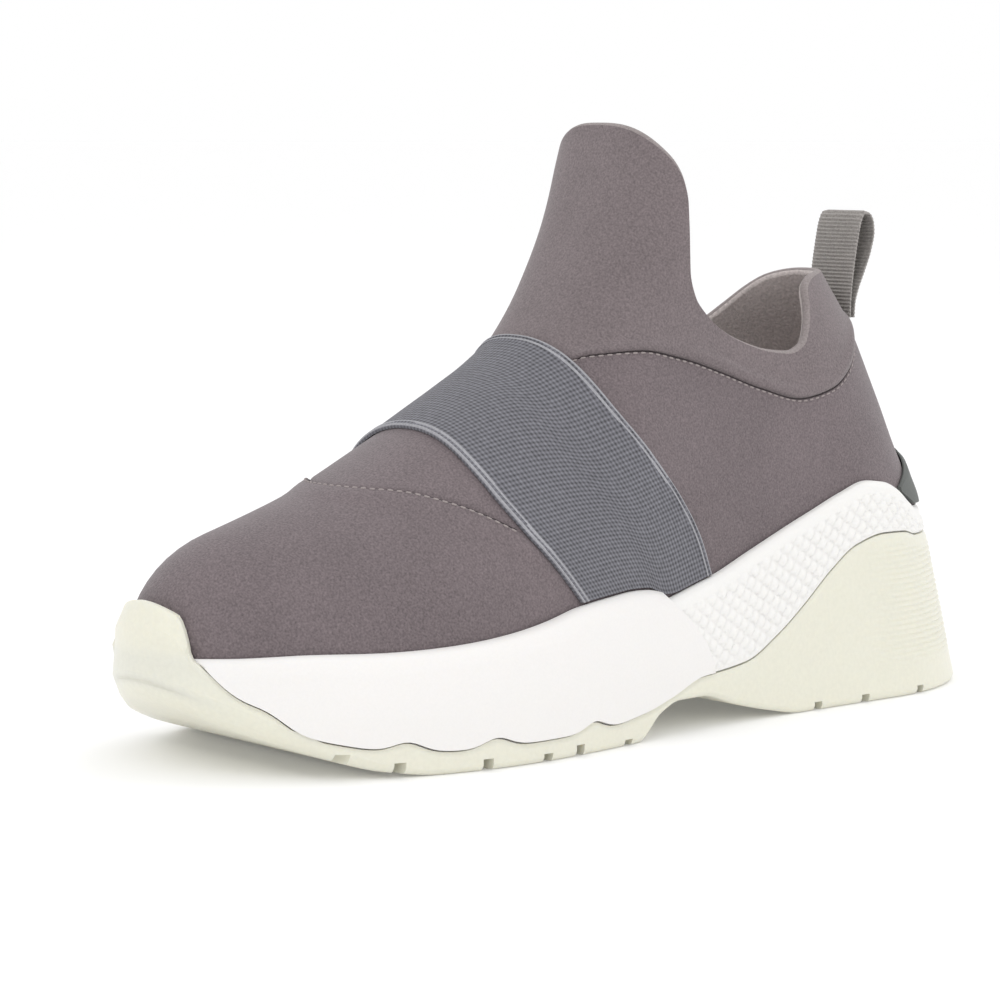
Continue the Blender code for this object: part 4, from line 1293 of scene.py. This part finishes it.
@dataclass
class Strap(Assembly):
    """The woven elastic over the instep, with two raised cords along each edge.

    Attributes:
        steps: points from the rim to the ridge on each side.
        rows: rows across the middle.
        hem: share of the width that each finer edge takes up.
        hem_rows: rows in each edge.
        cords: each cord's distance from the edge, in millimetres.
        cord_width: half width of a cord, in millimetres.
        cord_rise: how far a cord stands up.
    """

    steps: int = 90
    rows: int = 40
    hem: float = 0.09
    hem_rows: int = 20
    cords: tuple[float, float] = (0.55, 1.95)
    cord_width: float = 0.42
    cord_rise: float = 0.00036

    def build(self) -> list[Thing]:
        """Makes the strap."""
        shares = 1 - (1 - np.linspace(0.0, 1.0, self.steps + 1)) ** 2
        edge = np.linspace(0.0, self.hem, self.hem_rows + 1)
        across = np.linspace(self.hem, 1 - self.hem, self.rows + 1)[1:-1]
        across = np.concatenate([edge, across, 1 - edge[::-1]])
        front, back = strap_line(STRAP_FRONT, shares), strap_line(STRAP_BACK, shares)
        low = front[0, 0] + (back[0, 0] - front[0, 0]) * across
        low = np.stack([low, rim_height(low) + OVER_RIM], axis=-1)
        ridge = ridge_run(front[-1, 0], back[-1, 0], across)
        patch = side_patch(front, back, low, ridge, shares, across)
        outer, inner = both_sides(patch[..., 0], patch[..., 1])
        outer[:, -1, 0] = centre_offset(patch[:, -1, 0])
        grid = np.concatenate([outer, inner[:, -2::-1]], axis=1)
        normals = open_normals(grid)
        normals *= np.sign(normals[len(across) // 2, self.steps, 2])
        across_run, along_run = row_runs(grid), row_runs(grid.swapaxes(0, 1)).T
        edge = np.minimum(across_run, across_run[-1] - across_run) * PER_METRE
        cords = sum(np.exp(-(((edge - at) / self.cord_width) ** 2)) for at in self.cords)
        rolled = smooth_step(edge, -0.3, 0.5)
        top = SKIM + STRAP_THICKNESS * (0.12 + 0.42 * rolled) + self.cord_rise * cords
        runs = np.stack([across_run, along_run], axis=-1)
        piece = Piece("strap", (ELASTIC, CORD), "strap_elastic", ("instep_strap",))
        over = grid + normals * top[..., None]
        piece.add_shell(grid + normals * SKIM, over, runs, np.where(cords > 0.45, 1, 0))
        made = piece.build()
        return [made]


# The midsole's rounded rim, how far down it takes to stand proud, and where its side ends.
RIM_ROUND = 0.0011
RIM_DROP = 0.0016
PROUD_DROP = 0.004
EDGE_TUCK = 0.0002


def midsole_rings(
    rim_of: Heights, proud: float, steps: int, rows: int, relief: Callable[..., Grid]
) -> list[Grid]:
    """Rings of a cup round the upper's foot, from its bed over the rim and down its side.

    Args:
        rim_of: height of the rim at each station.
        proud: how far the side stands out over its neighbour.
        steps: points on each side.
        rows: rows down the side.
        relief: extra distance out, from the run round, the run down and the share down.

    Returns:
        The rings, from the bed inside to the rebate over the outsole's wrap.
    """
    base = level_ring(bed_height, steps)
    normals, station = plan_normals(base), station_of(base)
    wall = [level_ring(blend(bed_height, rim_of, k), steps) for k in (0.0, 0.35, 0.7, 1.0)]
    inner = np.array(wall) + grid_normals(np.array(wall)) * (CLEARANCE + FACET_ALLOWANCE)
    inner[:, :, 2] = np.array(wall)[:, :, 2]
    edge_of = lambda q: np.minimum(outsole_edge(q) + CLEARANCE, rim_of(q) - RIM_DROP)
    floor_of = lambda q: floor_top(q) + CLEARANCE
    around = around_runs(base)
    rings = list(inner)
    for k in np.linspace(0.0, 1.0, rows):
        heights = rim_of(station) + (edge_of(station) + EDGE_TUCK - rim_of(station)) * k
        down = rim_of(station) - heights
        lip = RIM_ROUND * (1 - np.minimum(1.0, down / RIM_DROP)) ** 2
        out = proud * np.minimum(1.0, down / PROUD_DROP) - lip + relief(around, down, k)
        shown = side_ring(base, normals, heights, 0.0) + normals * out[:, None]
        side_of = blend(rim_of, lambda q: edge_of(q) + EDGE_TUCK, k)
        tucked = wrap_ring(base, normals, side_of, -CLEARANCE)
        covered = smooth_step(outsole_edge(station) - heights, -0.0004, 0.0003)[:, None]
        rings.append(shown * (1 - covered) + tucked * covered)
    rings.append(wrap_ring(base, normals, edge_of, 0.0))
    rings.append(wrap_ring(base, normals, floor_of, 0.0))
    return rings


@dataclass
class Midsole(Assembly):
    """One of the two foam forms of the side: the smooth front or the quilted rear.

    Attributes:
        name: the CAD node's name.
        finish: its one material.
        rim_of: height of its rim at each station.
        proud: how far it stands out.
        side: 1 keeps what is in front of the lobe's line, -1 what is behind.
        steps: points on each side of a ring.
        rows: rows down the side.
        quilt: depth of the quilted cells, or 0.
        cell: size of a cell.
    """

    name: str
    finish: Finish
    rim_of: Heights
    proud: float
    side: int
    steps: int
    rows: int
    quilt: float = 0.0
    cell: float = 0.0046

    def _relief(self, around: Grid, down: Grid, share: float) -> Grid:
        """Raised cells in slanted rows, fading at the edges of the band."""
        if not self.quilt:
            return np.zeros_like(down)
        a = (around + down) * np.pi / self.cell
        b = (around - down) * np.pi / self.cell
        cell = np.sqrt(np.abs(np.sin(a) * np.sin(b)))
        near = smooth_step(down, 0.0026, 0.0042) * (1 - smooth_step(share, 0.93, 1.0))
        return self.quilt * (cell - 0.35) * near

    def build(self) -> list[Thing]:
        """Makes the form and cuts it along the lobe's line."""
        piece = Piece(self.name + "_look", (self.finish,), self.finish.name, (self.name,))
        piece.add_solid(
            midsole_rings(self.rim_of, self.proud, self.steps, self.rows, self._relief)
        )
        made = piece.build()
        cut(made, lobe_cutter(self.side, self.name + "_cutter"))
        return [made]


# How much wider than its CAD form the bumper's tab bends, and the turns of the rounded edge.
TAB_MARGIN = 0.004
EDGE_TURNS = (0.1, 0.29, 0.55, 1.0)
EDGE_POWER = 3.6


@dataclass
class Outsole(Assembly):
    """The rubber ground: wrap with scallops, ribbed heel clip, toe bumper and lugs.

    Attributes:
        steps: points on each side of a ring.
        rows: rows down the outside.
        wall_rows: rows up the inside.
        rib_pitch: distance between the heel clip's ribs.
        rib_depth: half a rib's depth.
        tab_reach: share of the way down at which the bumper's tab joins the side.
    """

    steps: int = 260
    rows: int = 90
    wall_rows: int = 14
    rib_pitch: float = 0.0016
    rib_depth: float = 0.00028
    tab_reach: float = 0.3

    def build(self) -> list[Thing]:
        """Makes the outsole and cuts its grooves."""
        base = level_ring(bed_height, self.steps)
        normals, station = plan_normals(base), station_of(base)
        edge = outsole_edge(station)
        rows = [blend(floor_top, outsole_edge, k) for k in np.linspace(0.0, 1.0, self.wall_rows)]
        rings = [wrap_ring(base, normals, height_of, CLEARANCE) for height_of in rows]
        over = rings[-1] + normals * BUMPER_THICKNESS
        tab = bumper_share(station, TAB_MARGIN)
        toe = smooth_step(station, *TOE_WRAP_RUN)
        edge_round = EDGE_ROUND + TOE_EDGE_ROUND * toe
        low = ground_table(station_of(side_ring(base, normals, edge, 0.0))) + edge_round
        ribbed = 1 - smooth_step(station, 0.06, 0.24)
        knee = side_ring(base, normals, edge + (low - edge) * self.tab_reach, WRAP_PROUD)
        for k in np.linspace(0.0, 1.0, self.rows):
            heights = edge + (low - edge) * k
            rib = self.rib_depth * np.cos(2 * np.pi * heights / self.rib_pitch)
            near = smooth_step(edge - heights, 0.002, 0.004)
            near = near * smooth_step(heights - low, 0.004, 0.012)
            lip = 0.0005 * np.exp(-(((edge - heights) / 0.0008) ** 2))
            ring = side_ring(base, normals, heights, WRAP_PROUD)
            ring = ring + normals * (rib * near * ribbed - lip)[:, None]
            if k < self.tab_reach:
                bent = over * (1 - k / self.tab_reach) + knee * (k / self.tab_reach)
                ring = bent * tab[:, None] + ring * (1 - tab[:, None])
            rings.append(ring)
        inset = GROUND_INSET + TOE_INSET * toe
        for turn in EDGE_TURNS:
            foot = side_ring(base, normals, low, WRAP_PROUD - inset * turn)
            ground = ground_table(station_of(foot))
            foot[:, 2] = ground + edge_round * (1 - turn) ** EDGE_POWER
            rings.append(foot)
        piece = Piece("outsole_look", (RUBBER,), "cream_rubber", ("outsole",))
        piece.add_solid(rings)
        made = piece.build()
        cutter = bmesh.new()
        for place, depth in GROOVES:
            box = bmesh.ops.create_cube(cutter, size=1.0)["verts"]
            reach = 2 * LUG_DEPTH * depth
            bmesh.ops.scale(cutter, vec=(2 * CUT_REACH, GROOVE, reach), verts=box)
            level = float(ground_table(place))
            bmesh.ops.translate(cutter, vec=(0.0, along(place), level), verts=box)
        cut(made, put_mesh("outsole_grooves", cutter))
        return [made]


@dataclass
class Footbed(Assembly):
    """The insole inside the upper."""

    steps: int = 120

    def build(self) -> list[Thing]:
        """Makes the insole."""
        heights = (CLEARANCE, CLEARANCE + INSOLE_THICKNESS)
        skins = np.array(
            [level_ring(lambda q, h=h: bed_height(q) + h, self.steps) for h in heights]
        )
        rings = skins - grid_normals(skins) * (WALL + CLEARANCE + 4 * FACET_ALLOWANCE)
        rings[:, :, 2] = skins[:, :, 2]
        piece = Piece("footbed", (INSOLE,), "insole_fabric", ("insole",))
        piece.add_solid(rings)
        made = piece.build()
        return [made]


@dataclass
class Counter(Assembly):
    """The low overlay round the back of the heel."""

    reach: float = 0.100
    steps: int = 60
    rows: int = 16

    def build(self) -> list[Thing]:
        """Makes the overlay."""
        lines = []
        for k in np.linspace(0.0, 1.0, self.rows):

            def height_of(station: Grid, k: float = k) -> Grid:
                fall = np.maximum(1 - np.maximum(station / self.reach, 0.0) ** 1.6, 0.0)
                return heel_rim(station) + OVER_RIM + k * (COUNTER_RISE * fall + 0.0012)

            back = heel_back(height_of)
            run = back + (self.reach - back) * np.linspace(0.0, 1.0, self.steps) ** 2
            outer, inner = both_sides(run, height_of(run))
            outer[0, 0] = centre_offset(back)
            lines.append(np.concatenate([outer[::-1], inner[1:]]))
        grid = np.array(lines)
        normals = open_normals(grid)
        normals *= np.sign(normals[1, self.steps - 1, 1])
        low = CLEARANCE + FACET_ALLOWANCE
        share = np.linspace(0.0, 1.0, self.rows)[:, None] * np.ones(grid.shape[1])
        top = low + COUNTER_THICKNESS * (1 - 0.6 * smooth_step(share, 0.85, 1.0))
        piece = Piece("counter", (OVERLAY,), "counter_overlay", ("heel_counter",))
        piece.add_shell(grid + normals * low, grid + normals * top[..., None])
        return [piece.build()]


@dataclass
class PullLoop(Assembly):
    """The ribbed ribbon loop at the collar's back."""

    pitch: float = 0.00105
    rib_depth: float = 0.00022
    columns: int = 14
    steps: int = 480

    def build(self) -> list[Thing]:
        """Makes the loop."""
        rough = np.array([(along(s), LOOP_FOOT + LOOP_RISE * h) for s, h in LOOP_PATH])
        share = around_runs(rough)
        fine = np.linspace(0.0, share[-1], self.steps)
        curves = [smooth_table(list(zip(share, rough[:, k]))) for k in (0, 1)]
        path = np.stack([curve(fine) for curve in curves], axis=-1)
        for _ in range(10):
            path[1:-1] = (path[:-2] + 2 * path[1:-1] + path[2:]) / 4
        run = np.gradient(path, axis=0)
        side = np.stack([-run[:, 1], run[:, 0]], axis=-1)
        side /= np.linalg.norm(side, axis=-1, keepdims=True)
        rib = self.rib_depth * np.cos(2 * np.pi * fine / self.pitch)
        half = LOOP_THICKNESS / 2 + rib - 0.0001
        middle = float(centre_offset(0.1))
        across = np.linspace(-1.0, 1.0, self.columns)
        piece = Piece("pull_loop", (RIBBON,), "ribbon_taupe", ("heel_loop",))
        grids = []
        for sign in (1.0, -1.0):
            edge = 1 - 0.55 * np.maximum(0.0, (np.abs(across) - 0.86) / 0.14) ** 2
            offset = sign * half[:, None] * edge[None]
            y = path[:, :1] + side[:, :1] * offset
            z = path[:, 1:] + side[:, 1:] * offset
            x = np.broadcast_to(middle + across * LOOP_WIDTH / 2, y.shape)
            grids.append(np.stack([x, y, z], axis=-1))
        piece.add_shell(*grids)
        return [piece.build()]


# Width of the camera's sensor in millimetres, and of the picture in pixels.
SENSOR = 36.0
PICTURE = 1000.0


@dataclass
class Studio:
    """The floor, the lights and the camera."""

    azimuth: float = 50.0
    elevation: float = 6.4
    distance: float = 0.900
    focal_px: float = 3358.0
    target: tuple[float, float, float] = (0.0010, -0.02315, 0.0604)
    lights: tuple = (
        ("key", (-0.1, -1.3, 1.3), 0.8, 2.3),
        ("fill", (1.5, -0.2, 1.0), 1.2, 2.0),
        ("top", (0.1, 0.7, 1.7), 1.0, 3.4),
    )
    world_strength: float = 1.0
    floor_size: float = 60.0
    floor_glow: float = 0.09

    def build(self) -> None:
        """Sets the stage."""
        floor = self._floor()
        for light in self.lights:
            self._light(*light)
        bpy.context.scene.view_settings.view_transform = "Standard"
        world = bpy.context.scene.world or bpy.data.worlds.new("studio")
        bpy.context.scene.world = world
        world.use_nodes = True
        sky = world.node_tree.nodes["Background"].inputs
        sky["Color"].default_value = WHITE_LIGHT
        sky["Strength"].default_value = self.world_strength
        self._camera()

    def _floor(self) -> Thing:
        """A wide pale floor."""
        bm = bmesh.new()
        bmesh.ops.create_grid(bm, x_segments=1, y_segments=1, size=self.floor_size)
        made = put_mesh("floor", bm)
        pale = Finish("floor", (0.90, 0.90, 0.90), 0.9, mottle=0.0, relief=0.0).material()
        glow = pale.node_tree.nodes["Principled BSDF"].inputs
        glow["Emission Color"].default_value = WHITE_LIGHT
        glow["Emission Strength"].default_value = self.floor_glow
        made.data.materials.append(pale)
        return made

    @staticmethod
    def _light(name: str, place: tuple[float, float, float], size: float, power: float) -> None:
        """Adds a square soft light that faces the shoe."""
        data = bpy.data.lights.new(name, "AREA")
        data.size, data.energy = size, power
        made = put(name, data)
        made.location = place
        aim = Vector((0, 0, 0.05)) - Vector(place)
        made.rotation_euler = aim.to_track_quat("-Z", "Y").to_euler()

    def _camera(self) -> None:
        """Places the camera at the photo's angle."""
        a, e = np.radians(self.azimuth), np.radians(self.elevation)
        back = Vector((np.sin(a) * np.cos(e), -np.cos(a) * np.cos(e), np.sin(e)))
        data = bpy.data.cameras.new("camera")
        data.sensor_width = SENSOR
        data.lens = self.focal_px * SENSOR / PICTURE
        data.clip_start, data.clip_end = 0.05, 30.0
        made = put("camera", data)
        made.location = Vector(self.target) + back * self.distance
        made.rotation_euler = (-back).to_track_quat("-Z", "Y").to_euler()
        bpy.context.scene.camera = made


def main() -> None:
    """Dresses the frame and finishes."""
    logging.basicConfig(level=logging.INFO, format="%(name)s %(message)s")
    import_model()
    assemblies = (
        Bootie(),
        Strap(),
        Midsole("midsole_front", WHITE, front_rim, LOBE_PROUD, side=1, steps=200, rows=26),
        Midsole("midsole_rear", QUILT, heel_rim, 0.0, side=-1, steps=420, rows=64, quilt=0.00100),
        Outsole(),
        Footbed(),
        Counter(),
        PullLoop(),
    )
    for assembly in assemblies:
        assembly.build()
    Studio().build()


if __name__ == "__main__":
    main()
